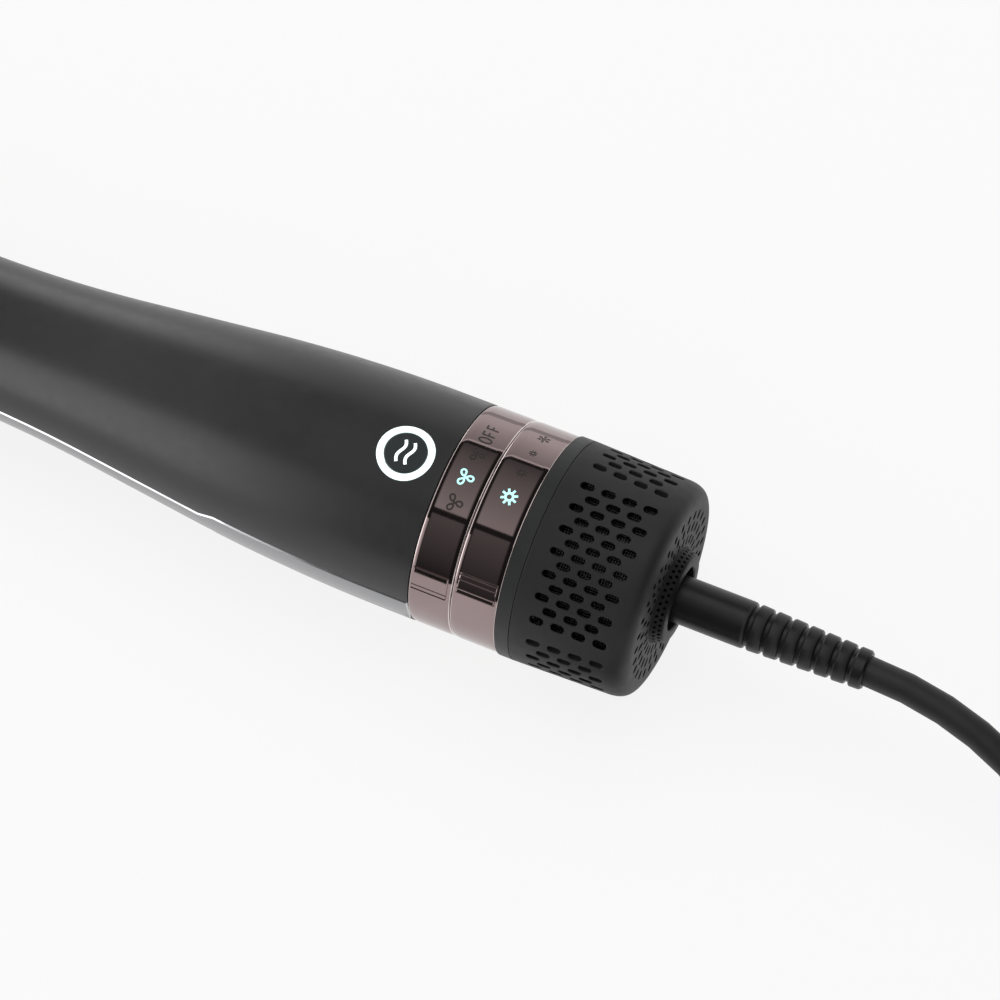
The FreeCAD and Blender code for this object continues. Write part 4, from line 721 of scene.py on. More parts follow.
@dataclass
class Sheet:
    """A wall laid out flat, with openings, that is wrapped onto its form.

    Attributes:
        outline: The wall's edge, anticlockwise.
        openings: The openings' edges, each anticlockwise.
        wrap: Gives the point for a place in the layout and a depth below the surface.
        wall: The wall's thickness.
        grid: The distance between the layout's filling points, along and across.
        lip: The small bevel round the openings.
        edge: The small bevel round the outline.
    """

    outline: Loop
    openings: list[Loop]
    wrap: Wrap
    wall: float
    grid: Pair
    lip: float = 0.12
    edge: float = 0.12

    def normal(self, point: Vector) -> Vector:
        """The surface's outward direction.

        Args:
            point: The place in the layout.

        Returns:
            The direction, of length 1.
        """
        step, (u, v) = 0.02, point
        along = self.wrap(u + step, v, 0.0) - self.wrap(u - step, v, 0.0)
        across = self.wrap(u, v + step, 0.0) - self.wrap(u, v - step, 0.0)
        leaning = along.cross(across).normalized()
        outwards = self.wrap(u, v, 0.0) - self.wrap(u, v, 0.1)
        return leaning if leaning.dot(outwards) > 0 else -leaning

    def filling(self) -> Loop:
        """Points between the outline and the openings, on a grid."""
        boxes = [Span.of(opening, 0.3) for opening in self.openings]
        inside = shifted(self.outline, -0.45 * min(self.grid))
        whole = Span.of(self.outline)
        spots = [flat(whole.left + column * self.grid[0], whole.bottom + row * self.grid[1])
                 for column in range(1, math.ceil((whole.right - whole.left) / self.grid[0]))
                 for row in range(1, math.ceil((whole.top - whole.bottom) / self.grid[1]))]
        free = [spot for spot in spots if not any(box.holds(spot) for box in boxes)]
        return [spot for spot in free if encloses(inside, spot)]

    def skin(self, form: Form, loops: list[Loop], filling: Loop, depth: float,
             finish: int) -> list[list[int]]:
        """Lays one side of the wall.

        Args:
            form: The form that takes the faces.
            loops: The side's own outline and openings.
            filling: Points between them.
            depth: How deep the side lies.
            finish: Its finish.

        Returns:
            The corners' numbers on the outline and on each opening.
        """
        layout: Loop = []
        edges: list[tuple[int, int]] = []
        sources: list[range] = []
        for loop in loops:
            first, count = len(layout), len(loop)
            layout.extend(loop)
            sources.append(range(first, first + count))
            edges.extend((first + index, first + (index + 1) % count) for index in range(count))
        points, _, faces, origins, _, _ = delaunay_2d_cdt(layout + filling, edges, [], 0, 1e-7)
        numbers = form.ring(self.wrap(point.x, point.y, depth) for point in points)
        place_of = {source: number for number, given in zip(numbers, origins) for source in given}
        spans = [(Span.of(opening), opening) for opening in loops[1:]]
        normals = [self.normal(point) for point in points] if depth == 0.0 else []
        for face in faces:
            middle = sum((points[corner] for corner in face), flat(0, 0)) / len(face)
            in_opening = any(span.holds(middle) and encloses(opening, middle) for span, opening in spans)
            if encloses(loops[0], middle) and not in_opening:
                leaning = {numbers[corner]: normals[corner] for corner in face} if normals else None
                form.face([numbers[corner] for corner in face], finish, leaning)
        return [[place_of[source] for source in given] for given in sources]

    def build(self, form: Form, finish: int = 0, edge_finish: int | None = None, inner: int = 0) -> None:
        """Adds the whole wall: both sides, the small bevels and the walls of the openings.

        Args:
            form: The form that takes the faces.
            finish: The finish of the outer side.
            edge_finish: The finish of the outline's bevel, where it differs.
            inner: The finish of the inner side and of the openings' walls.
        """
        filling = self.filling()
        loops = [self.outline, *self.openings]
        insets = [-self.edge] + [self.lip] * len(self.openings)
        front = [shifted(loop, inset) if inset else loop for loop, inset in zip(loops, insets)]
        near = self.skin(form, front, filling, 0.0, finish)
        far = self.skin(form, loops, filling, self.wall, inner)
        for number, (loop, inset) in enumerate(zip(loops, insets)):
            band = finish if number or edge_finish is None else edge_finish
            upper = near[number]
            if inset:
                lower = form.ring(self.wrap(point.x, point.y, abs(inset)) for point in loop)
                form.bridge(upper, lower, band)
                upper = lower
            form.bridge(upper, far[number], inner if number else band)


def fit(piece: Piece, body: Body, slot: Slot, *nodes: str) -> Piece:
    """Hands one piece over to the frame.

    Args:
        piece: The finished object.
        body: The body that it rides on.
        slot: The record's material slot for the piece; it is not used.
        *nodes: The CAD nodes that it stands for.

    Returns:
        The same object.
    """
    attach(piece, body.value)
    if nodes:
        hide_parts(*nodes)
    LOG.info("%s rides on %s and stands for %s", piece.name, body.value, ", ".join(nodes) or "nothing")
    return piece


# Camera, floor and light
@dataclass(frozen=True)
class Viewpoint:
    """The camera: its place in the brush's millimetres, what it looks along and what it holds upright."""

    eye: Triple = (227.87, -304.96, 874.28)
    forward: Triple = (-0.23063, 0.32665, -0.91657)
    upright: Triple = (-0.34762, 0.85215, 0.39116)
    lens: float = 151.9
    film: float = 36.0

    def set_up(self) -> None:
        """Makes the camera and gives it to the scene."""
        back = -Vector(self.forward).normalized()
        right = Vector(self.upright).cross(back).normalized()
        data = bpy.data.cameras.new("viewpoint")
        data.lens, data.sensor_width = self.lens, self.film
        data.clip_start, data.clip_end = 0.05, 20.0
        camera = linked("viewpoint", data)
        turned = Matrix((right, back.cross(right), back)).transposed().to_4x4()
        camera.matrix_world = Matrix.Translation(DATUM.place(Vector(self.eye))) @ turned
        bpy.context.scene.camera = camera


@dataclass(frozen=True)
class Studio:
    """A pale floor, soft lamps and the cards that shiny pieces mirror.

    Attributes:
        floor_size: The floor's side, in metres.
        paper_glow: How much of the floor's own white shows where it is looked at or mirrored.
        soft_light: The strength of the soft light from all round.
        card_steps: Edges across a card's bend.
    """

    floor_size: float = 12.0
    paper_glow: float = 0.86
    soft_light: float = 0.27
    card_steps: int = 16

    def floor(self) -> None:
        """Lays the floor, which shows as white paper and keeps the shadow."""
        bpy.ops.mesh.primitive_plane_add(size=self.floor_size, location=(0, 0, 0))
        paper = bpy.context.object
        paper.name = "paper_floor"
        bench = NodeBench("white_paper")
        bench.give({"Base Color": (0.9, 0.9, 0.9, 1.0), "Roughness": 0.9, "Specular IOR Level": 0.0})
        tree = bench.tree
        share = add(tree, "Math", {0: seen(tree), 1: self.paper_glow}, "MULTIPLY")
        mix = add(tree, "MixShader", {"Fac": share, 1: bench.shader, 2: add(tree, "Emission")})
        feed(tree, bench.output, {"Surface": mix})
        paper.data.materials.append(bench.material)

    def backdrop(self) -> None:
        """Sets the world: white where it is seen or mirrored, and a soft grey light elsewhere."""
        world = bpy.data.worlds.new("white_room")
        bpy.context.scene.world = world
        world.use_nodes = True
        tree = world.node_tree
        tree.nodes.clear()
        white = add(tree, "Background", {"Color": (1, 1, 1, 1)})
        soft = add(tree, "Background", {"Color": (1, 1, 1, 1), "Strength": self.soft_light})
        through = add(tree, "LightPath").outputs["Is Transmission Ray"]
        shown = add(tree, "Math", {0: seen(tree), 1: through}, "MAXIMUM")
        mix = add(tree, "MixShader", {"Fac": shown, 1: soft, 2: white})
        add(tree, "OutputWorld", {"Surface": mix})

    def lamp(self, name: str, spot: Triple, size: float, watts: float) -> None:
        """Hangs one soft lamp that lights the brush's middle.

        Args:
            name: The lamp's name.
            spot: Where it hangs, in metres from the brush's middle.
            size: Its side, in metres.
            watts: Its power.
        """
        data = bpy.data.lights.new(name, "AREA")
        data.size, data.energy = size, watts
        lamp = linked(name, data)
        lamp.location = spot
        lamp.rotation_euler = (-Vector(spot)).to_track_quat("-Z", "Y").to_euler()
        lamp.visible_glossy = False

    def card(self, name: str, turns: Pair, tones: Pair, length: Pair, distance: Pair = (0.8, 0.8),
             fade: float = 0.0) -> None:
        """Bends one card round the brush, some way off, that only mirrors see.

        Args:
            name: The card's name.
            turns: Its edges, in degrees from straight up towards the near side.
            tones: How bright it is at those edges.
            length: Its ends along the brush, in metres.
            distance: How far off its ends hang, in metres.
            fade: The share of its length in which it darkens towards each end.
        """
        axis = DATUM.place(Vector((0, 0, 0)))
        dim = 0.15
        corners, shades = [], []
        for along, light in ((0.0, dim), (fade, 1.0), (1.0 - fade, 1.0), (1.0, dim)):
            for share in stepped(0, 1, self.card_steps):
                turn = math.radians(between(turns, share))
                corners.append(axis + around(between(length, along), between(distance, along), turn))
                shades.append(between(tones, share) * (light if fade else 1.0))
        row = self.card_steps + 1
        starts = [row * column + step for column in ((0, 1, 2) if fade else (1,)) for step in range(row - 1)]
        mesh = bpy.data.meshes.new(name)
        mesh.from_pydata(corners, [], [(s, s + 1, s + row + 1, s + row) for s in starts])
        mesh.attributes.new("tone", "FLOAT", "POINT").data.foreach_set("value", shades)
        bench = NodeBench(name)
        tone = add(bench.tree, "Attribute")
        tone.attribute_name = "tone"
        bench.give({"Base Color": (0, 0, 0, 1), "Specular IOR Level": 0.0, "Emission Color": (1, 1, 1, 1),
                    "Emission Strength": tone.outputs["Fac"]})
        mesh.materials.append(bench.material)
        card = linked(name, mesh)
        card.visible_camera = card.visible_diffuse = card.visible_shadow = False
        card.visible_transmission = card.visible_volume_scatter = False

    def set_up(self) -> None:
        """Makes the whole studio."""
        bpy.context.scene.view_settings.view_transform = "Standard"
        self.backdrop()
        self.floor()
        self.lamp("lamp_above", (-0.2, 0.5, 1.5), 1.4, 13)
        self.lamp("lamp_near", (0.5, -1.3, 1.1), 1.4, 3.5)
        self.lamp("lamp_side", (-1.6, -0.3, 0.7), 1.2, 7)
        field = (-0.36, -0.02)
        self.card("card_frame", (-57, 90), (0.025, 0.025), (-0.62, 0.22), (0.9, 0.9))
        self.card("card_overhead", (-53, 21), (0.13, 0.55), field, fade=0.24)
        self.card("card_near", (27, 86), (0.19, 0.04), field, fade=0.24)
        self.card("card_top", (-90, -57), (0.95, 0.5), (-0.17, 0.08), (0.3, 0.3))
        self.card("card_far_strip", (-102, -94), (0.5, 0.6), (-0.04, 0.03), (0.103, 0.103))
        self.card("card_handle_top", (-89, -62), (3.2, 2.0), (-0.6, -0.17), (0.3, 0.3), 0.12)
        self.card("card_handle_side", (34, 88), (2.4, 2.9), (-0.45, -0.1), (0.25, 0.25), 0.25)
        self.card("card_edge", (-24, 30), (1.1, 1.3), (0.06, 0.13), (0.25, 0.25))
        self.card("card_sleeve", (-34, 0), (1.2, 1.2), (0.034, 0.085), (0.1, 0.1))
        self.card("card_cap_low", (92, 118), (0.02, 0.02), (0.032, 0.08), (0.055, 0.055))
        self.card("card_end", (-85, 85), (0.02, 0.02), (0.5, 0.5), (0.02, 0.95))


# Lead, coil and plug
@dataclass(frozen=True)
class Lead:
    """The lead: its visible run, its coil of put-away length, the tie and the plug.

    Attributes:
        route: The run's corners: how far past the sleeve, and the share of the way down and aside.
        aside: How far the lead swings aside on its way to the coil.
        coil_away: The coil's middle, past the sleeve's end.
        turn_radius: The middle of the coil's turns.
        inwards: The turns after which the lower layer steps inwards.
        outwards: The turns after which the upper layer steps outwards.
        stepping: The share of a turn that such a step takes.
        climb: The turn at which it climbs onto its upper layer.
        climbing: The share of a turn that the climb takes.
        tail: The straight end beside the plug.
        length: The whole lead, in metres; not used.
    """

    radius: float = 3.5
    route: tuple[Pair, ...] = ((0, 0), (30, 0), (74, 1))
    aside: float = 30.0
    coil_away: float = 130.0
    turn_radius: float = 38.0
    points_in_turn: int = 12
    turns: float = 5.5
    inwards: Pair = (0.9, 1.9)
    outwards: Pair = (3.6, 4.6)
    stepping: float = 0.16
    climb: float = 2.75
    climbing: float = 0.2
    tail: float = 28.0
    length: float = 1.5

    @property
    def exit(self) -> Vector:
        """Where the lead leaves its sleeve."""
        return Vector((DATUM.box("cord_sleeve")[1].x, 0, 0))

    @property
    def outer_turn(self) -> float:
        """The outer turn's radius."""
        return self.turn_radius + 2 * self.radius

    def run(self) -> Loop:
        """The corners from the sleeve down to the surface."""
        drop = DATUM.height - self.radius
        return [self.exit + Vector((x, -self.aside * share, -drop * share)) for x, share in self.route]

    def station(self, turn: float) -> Pair:
        """Where the lead lies in the coil.

        Args:
            turn: The turns so far.

        Returns:
            Its radius and its height over the floor.
        """
        pitch = 2 * self.radius
        inwards, outwards = (sum(ease((turn - step) / self.stepping + 0.5) for step in steps)
                             for steps in (self.inwards, self.outwards))
        level = self.radius + pitch * ease((turn - self.climb) / self.climbing + 0.5)
        return self.outer_turn - pitch * (inwards - outwards), level

    def coil(self) -> Loop:
        """The coil's control points: inwards on the floor, up, and outwards on top of itself."""
        middle = self.exit + Vector((self.coil_away, self.outer_turn - self.aside, -DATUM.height))
        step = math.tau / self.points_in_turn
        points = []
        for number in range(round(self.turns * self.points_in_turn) + 2):
            radius, level = self.station((number - 0.5) / self.points_in_turn)
            across = spun(0, -radius / math.cos(step / 2), step * (number - 0.5))
            points.append(middle + Vector((*across, level)))
        return points

    def plug_start(self) -> Vector:
        """Where the lead runs into the plug's sleeve."""
        across = 2 * self.outer_turn - self.aside
        return self.exit + Vector((self.coil_away - self.tail, across, 3 * self.radius - DATUM.height))

    def build(self, plug: "Plug", sleeve: Piece) -> None:
        """Makes the lead as one spline, with its tie and plug.

        Args:
            plug: The plug on its far end.
            sleeve: The sleeve that it leaves.
        """
        data = bpy.data.curves.new("lead", "CURVE")
        data.dimensions = "3D"
        data.bevel_depth = self.radius / 1000
        data.bevel_resolution, data.resolution_u = 5, 6
        data.use_fill_caps = True
        points = [*self.run(), *self.coil(), self.plug_start()]
        spline = data.splines.new("NURBS")
        spline.points.add(len(points) - 1)
        for spot, point in zip(spline.points, points):
            spot.co = (*DATUM.place(point), 1.0)
        spline.order_u = 3
        spline.use_endpoint_u = True
        data.materials.append(CORD_BLACK.material())
        lead = fit(linked("lead", data), Body.HANDLE, Slot.CORD, "cord_lead", "cord_coil")
        pieces = [self.tie(), *plug.build(self.plug_start()), sleeve]
        DATUM.place(self.exit)

    def tie(self) -> Piece:
        """The strap round the coil."""
        low, high = DATUM.box("coil_tie")
        thick, inset, bevel = 0.8, 0.15, 0.2
        width, height = high.x - low.x, high.z - low.z
        outer = softened(oblong((0, 0), (width, height)), 3.0, steps=5)
        inner = softened(oblong((thick, thick), (width - thick, height - thick)), 2.4, steps=5)
        edge = shifted(outer, -inset)
        form = Form()
        form.tube([Vector((low.x + p.x, y, low.z + p.y)) for p in loop] for y, loop in (
            (low.y, edge), (low.y + bevel, outer), (high.y - bevel, outer), (high.y, edge), (high.y, inner),
            (low.y, inner)))
        return fit(form.make("coil_strap", TIE_BLACK), Body.HANDLE, Slot.TIE, "coil_tie")


@dataclass(frozen=True)
class Plug:
    """A flat two-pin plug with a ribbed strain relief.

    Attributes:
        relief: The relief's length.
        relief_radii: Its radius where the lead enters, and what it grows to.
        rib: One rib's corners: past the rib's start, and past the relief's radius.
        sections: The body's sections: past its rear, half the width and half the height.
        pin: A pin's outline: out of the plug's face, and its radius.
    """

    relief: float = 14.0
    relief_radii: Pair = (4.1, 5.9)
    relief_ribs: int = 5
    rib: tuple[Pair, ...] = ((0.0, -0.35), (-0.5, 0.0), (-1.6, 0.1), (-2.1, -0.3))
    length: float = 30.0
    softness: float = 5.0
    sections: tuple[Triple, ...] = (
        (1.0, 6.5, 5.5), (0.0, 8.5, 7.4), (-2.0, 10.6, 9.2), (-5.0, 13.6, 10.2), (-9.0, 16.6, 10.5),
        (-12.0, 17.4, 10.5), (-20.0, 17.5, 10.5), (-29.0, 17.5, 10.5), (-29.7, 17.2, 10.2),
        (-30.0, 16.6, 9.6),
    )
    pin_spacing: float = 19.0
    pin: tuple[Pair, ...] = ((0.0, 2.4), (17.4, 2.4), (18.4, 2.05), (18.9, 1.3), (19.0, 0.6))

    def build(self, start: Vector) -> list[Piece]:
        """Makes the body with its relief, and the pins.

        Args:
            start: Where the lead enters the relief.

        Returns:
            The body and the pins.
        """
        form = Form()
        ribs = []
        for share in stepped(0, 1, self.relief_ribs)[:-1]:
            place = -self.relief * (share + 0.2 / self.relief_ribs)
            ribs += [(place + shift, between(self.relief_radii, share) + extra) for shift, extra in self.rib]
        form.loft([start + around(x, radius, turn) for turn in whole_turn(32)] for x, radius in ribs)
        form.loft([start + Vector((x - self.relief, *point))
                   for point in softened(oblong((-w, -h), (w, h)), self.softness, steps=6)]
                  for x, w, h in self.sections)
        body = fit(form.make("plug_shell", CORD_BLACK), Body.HANDLE, Slot.CORD, "plug_body")
        pins = Form()
        for side in (-0.5, 0.5):
            foot = start + Vector((-self.relief - self.length, side * self.pin_spacing, 0))
            pins.loft([foot + around(-x, radius, turn) for turn in whole_turn(24)] for x, radius in self.pin)
        return [body, fit(pins.make("plug_contacts", PIN_NICKEL), Body.HANDLE, Slot.PIN, "plug_pins")]


# Handle, trims and button
@dataclass(frozen=True)
class HandleForm:
    """The handle's outline: straight beside the rings, a rounded belly, a taper and a neck."""

    radius: float = 26.0
    length: float = 126.0
    straight: float = 8.0
    belly_end: float = 56.0
    taper_end: float = 86.0
    slope: float = math.radians(6.45)

    def radius_at(self, x: float) -> float:
        """The handle's radius.

        Args:
            x: The place along the axis.

        Returns:
            The radius there.
        """
        ahead = -x
        belly = (self.belly_end - self.straight) / math.sin(self.slope)
        if ahead <= self.straight:
            return self.radius
        if ahead <= self.belly_end:
            return self.radius - belly + math.sqrt(belly**2 - (ahead - self.straight) ** 2)
        at_belly = self.radius - belly * (1 - math.cos(self.slope))
        if ahead <= self.taper_end:
            return at_belly - (ahead - self.belly_end) * math.tan(self.slope)
        at_taper = at_belly - (self.taper_end - self.belly_end) * math.tan(self.slope)
        neck = (self.length - self.taper_end) / math.sin(self.slope)
        rest = max(self.length - ahead, 0.0)
        return at_taper + neck * math.cos(self.slope) - math.sqrt(neck**2 - rest**2)


@dataclass(frozen=True)
class TrimForm:
    """A side trim's outline: a broad plaque, a slanting step and a narrower tail with a round end."""

    plaque: float = 49.6
    widths: Pair = (9.2, 6.0)
    step: float = 4.0
    tail_end: float = 120.0
    round_end: float = 2.0
    roundness: float = 0.6

    def half_width(self, x: float) -> float:
        """Half the trim's width.

        Args:
            x: The place along the axis.

        Returns:
            Half the width there, which is 0 past its end.
        """
        ahead = -x
        if ahead > self.tail_end:
            return 0.0
        share = min(max((ahead - self.plaque) / self.step, 0.0), 1.0)
        return between(self.widths, share) / 2

    def outline(self) -> Loop:
        """The trim's edge, anticlockwise in its layout."""
        ahead = [0.05, *range(6, 43, 6), 46, self.plaque, self.plaque + self.step, *range(58, 113, 6),
                 self.tail_end - self.round_end]
        high = [flat(-x, self.half_width(-x)) for x in ahead]
        low = [flat(point.x, -point.y) for point in reversed(high)]
        nose = []
        for angle in stepped(0, math.pi, 10)[1:-1]:
            ahead, side = math.sin(angle), math.cos(angle)
            height = self.widths[1] / 2 * abs(side) ** self.roundness
            nose.append(flat(low[0].x - self.round_end * ahead, math.copysign(height, side)))
        return [*low, *high, *nose]


@dataclass(frozen=True)
class Handle:
    """The two handle shells and the silver trims that cover their parting line."""

    form: HandleForm = HandleForm()
    trim: TrimForm = TrimForm()
    wall: float = 2.2
    gap: float = 0.06
    trim_proud: float = 0.2
    trim_depth: float = 0.9
    light_place: float = -9.7
    light_radius: float = 6.66

    def shell_edge(self, x: float) -> float:
        """How far round a shell reaches at a place, in its layout."""
        leaning = math.asin((self.trim.half_width(x) + self.gap) / self.form.radius_at(x))
        return (math.pi / 2 - leaning) * self.form.radius

    def wrap(self, flip: float) -> Wrap:
        """Gives the wrap of a shell's layout: along the axis, and round it by the rear radius.

        Args:
            flip: 0 for the upper shell and pi for the lower one.

        Returns:
            The wrap.
        """
        def onto(u: float, v: float, depth: float) -> Vector:
            """Puts one place of the layout onto the handle."""
            return around(u, self.form.radius_at(u) - depth, v / self.form.radius + flip)
        return onto

    def outline(self) -> Loop:
        """A shell's edge, anticlockwise in the layout."""
        trim, steps, jump = self.trim, 44, 0.01
        ahead = [0, 4, *range(8, 45, 6), trim.plaque, trim.plaque + trim.step, *range(58, 113, 6), 116,
                 trim.tail_end - jump, trim.tail_end + jump, 123, self.form.length]
        high = [flat(-x, self.shell_edge(-x)) for x in ahead]
        low = [flat(point.x, -point.y) for point in reversed(high)]
        rear, front = high[0].y, high[-1].y
        back_row = [flat(0, v) for v in stepped(-rear, rear, steps)[1:-1]]
        front_row = [flat(-self.form.length, v) for v in stepped(front, -front, steps)[1:-1]]
        return [*low, *back_row, *high, *front_row]

    def light_opening(self) -> Loop:
        """The round hole over the button, laid out flat. It is cut straight down."""
        loop = circle(self.light_place, 0, self.light_radius, steps=64)
        return [flat(p.x, math.asin(p.y / self.form.radius_at(p.x)) * self.form.radius) for p in loop]

    def build(self) -> None:
        """Makes both shells and both trims."""
        for name, node, flip, openings in (
            ("upper_shell", "upper_handle_shell", 0.0, [self.light_opening()]),
            ("lower_shell", "lower_handle_shell", math.pi, []),
        ):
            form = Form()
            Sheet(self.outline(), openings, self.wrap(flip), self.wall, (3.0, 1.3), lip=0.08).build(form)
            fit(form.make(name, SATIN_CHARCOAL), Body.HANDLE, Slot.HANDLE, node)
        for name, node, side in (("near_trim", "right_side_trim", 1), ("far_trim", "left_side_trim", -1)):
            fit(self.trim_plate(name, side), Body.HANDLE, Slot.TRIM, node)

    def trim_plate(self, name: str, side: int) -> Piece:
        """One trim.

        Args:
            name: The piece's name.
            side: 1 for the near side and -1 for the far one.

        Returns:
            The trim.
        """
        def onto(u: float, v: float, depth: float) -> Vector:
            """Puts one place of the trim's layout onto the handle."""
            radius = self.form.radius_at(u) + self.trim_proud
            return around(u, radius - depth, side * (math.pi / 2 - math.asin(v / radius)))
        form = Form()
        wall = self.trim_proud + self.trim_depth
        # The outline's bevel takes finish 1, a lighter metal that paints the edge highlight.
        Sheet(self.trim.outline(), [], onto, wall, (3.0, 1.1), edge=0.3).build(form, 0, 1)
        return form.make(name, TRIM_METAL, TRIM_EDGE_HIGHLIGHT)


@dataclass(frozen=True)
class IonButton:
    """The lit ring and the button inside it, both level with the handle.

    Attributes:
        light_floor: The lit ring's foot, over the axis.
        button_floor: The button's foot, over the axis.
        dish: The button's rings: the share of its radius, and how far below the handle's form.
        wave: Half a wave sign's length, and its height.
        wave_rows: The waves' middles.
    """

    handle: HandleForm = HandleForm()
    place: float = -9.7
    outer_radius: float = 6.6
    inner_radius: float = 5.05
    button_radius: float = 4.9
    light_floor: float = 21.6
    button_floor: float = 20.6
    dish: tuple[Pair, ...] = ((1.0, 0.16), (0.97, 0.06), (0.9, 0.03), (0.7, 0.02), (0.45, 0.015), (0.2, 0.01))
    wave: Pair = (2.75, 0.5)
    wave_rows: Pair = (-1.1, 1.1)

    def level(self, x: float, y: float) -> float:
        """The handle's height over a place."""
        return math.sqrt(self.handle.radius_at(x) ** 2 - y**2)

    def ringed(self, radius: float, sink: float, floor: float | None = None) -> Loop:
        """A ring of points that follows the handle, or lies on a level floor."""
        loop = circle(self.place, 0, radius, steps=64)
        return [Vector((x, y, self.level(x, y) - sink if floor is None else floor)) for x, y in loop]

    def build(self) -> None:
        """Makes the lit ring, the button and its sign."""
        light, button, waves = Form(), Form(), Form()
        outer, inner, bevel = self.outer_radius, self.inner_radius, 0.1
        light.tube(self.ringed(*given) for given in (
            (outer, 0.0, self.light_floor), (outer, 0.14), (outer - bevel, 0.02), ((outer + inner) / 2, 0.0),
            (inner + bevel, 0.02), (inner, 0.14), (inner, 0.0, self.light_floor)))
        fit(light.make("lit_ring", WHITE_GLOW), Body.HANDLE, Slot.LIGHT, "ion_light_ring")
        button.loft([self.ringed(self.button_radius, 0.0, self.button_floor),
                     *[self.ringed(self.button_radius * share, sink) for share, sink in self.dish]])
        fit(button.make("button", BUTTON_CHARCOAL), Body.BUTTON, Slot.HANDLE, "ion_button")
        reach, height = self.wave
        for row in self.wave_rows:
            centre = [(between((-reach, reach), share), row + height * math.sin(math.tau * share))
                      for share in stepped(0, 1, 16)]
            stroke(waves, centre, 0.7, self.sign_point)
        fit(waves.make("button_waves", WHITE_GLOW), Body.BUTTON, Slot.LIGHT)

    def sign_point(self, along: float, up: float, depth: float) -> Vector:
        """Puts a place of the sign on the button: it reads towards the far side, and stands up forwards."""
        x, y = self.place - up, along
        return Vector((x, y, self.level(x, y) + 0.02 - depth))


# How far below a sign's face its strokes reach
SIGN_DEPTH = 0.12


def stroke(form: Form, centre: Sequence[Pair], width: float, wrap: Wrap, closed: bool = False) -> None:
    """Draws a thin raised line of one width.

    Args:
        form: The form that takes it.
        centre: Its middle line.
        width: Its width.
        wrap: Puts a place of the sign, and a depth, on the surface.
        closed: Whether its ends meet.
    """
    points = [Vector(point) for point in centre]
    start, end = (points[-1], points[0]) if closed else (points[0], points[-1])
    rows = []
    for before, point, after in zip([start, *points[:-1]], points, [*points[1:], end]):
        way = (after - before).normalized() * width / 2
        left, right = point + flat(-way.y, way.x), point - flat(-way.y, way.x)
        rows.append([wrap(*left, 0.0), wrap(*right, 0.0), wrap(*right, SIGN_DEPTH), wrap(*left, SIGN_DEPTH)])
    (form.tube if closed else form.loft)(rows)


# Dial rings and their signs
class Sign(Enum):
    """The signs on the dial rings."""

    FAN = "fan"
    SUN = "sun"
    SNOW = "snow"
    OFF = "off"


@dataclass(frozen=True)
class Line:
    """One stroke of a sign, in halves of the sign's size."""

    spots: tuple[Pair, ...]
    width: float
    closed: bool = False

    def turned(self, turn: float) -> "Line":
        """The same stroke, turned round the sign's middle."""
        return Line(tuple(spun(x, y, turn) for x, y in self.spots), self.width, self.closed)


def lines_of(sign: Sign) -> list[Line]:
    """Gives a sign's strokes.

    Args:
        sign: The sign.

    Returns:
        Its strokes, in the order in which they are drawn.
    """
    upright = math.radians(24)
    if sign is Sign.SUN:
        disc = Line(tuple(circle(0, 0, 0.44, steps=24)), 0.28, closed=True)
        ray = Line(((0.56, 0), (1, 0)), 0.27)
        return [disc, *[ray.turned(turn + upright) for turn in whole_turn(8)]]
    if sign is Sign.FAN:
        spots = [(0.56 + 0.36 * math.cos(turn), 0.27 * math.sin(turn) * (1 + 0.25 * math.cos(turn)) + 0.12)
                 for turn in whole_turn(16)]
        return [Line(tuple(spots), 0.21, closed=True).turned(turn + upright) for turn in whole_turn(3)]
    if sign is Sign.SNOW:
        fork, twig = 0.5, 0.32 * math.sqrt(0.5)
        arm = [Line(((0.1, 0), (1, 0)), 0.16), Line(((fork, 0), (fork + twig, -twig)), 0.12),
               Line(((fork, 0), (fork + twig, twig)), 0.12)]
        return [line.turned(turn) for turn in whole_turn(6) for line in arm]
    line, width, height, pitch = 0.2, 0.7, 0.72, 1.12
    half = width / 2
    letter_o = tuple((half * x - pitch, height * y) for x, y in circle(0, 0, 1, steps=20))
    lines = [Line(letter_o, line, closed=True)]
    for left in (-half, pitch - half):
        lines += [Line(((left, -height), (left, height)), line),
                  Line(((left, 0.65), (left + width * 0.8, 0.65)), line),
                  Line(((left, 0), (left + width * 0.66, 0)), line)]
    return lines


@dataclass(frozen=True)
class Mark:
    """One sign on a ring: what, where round the ring in degrees, how large, and whether it is lit."""

    sign: Sign
    turn: float
    size: float
    lit: bool = False
    faint: bool = False


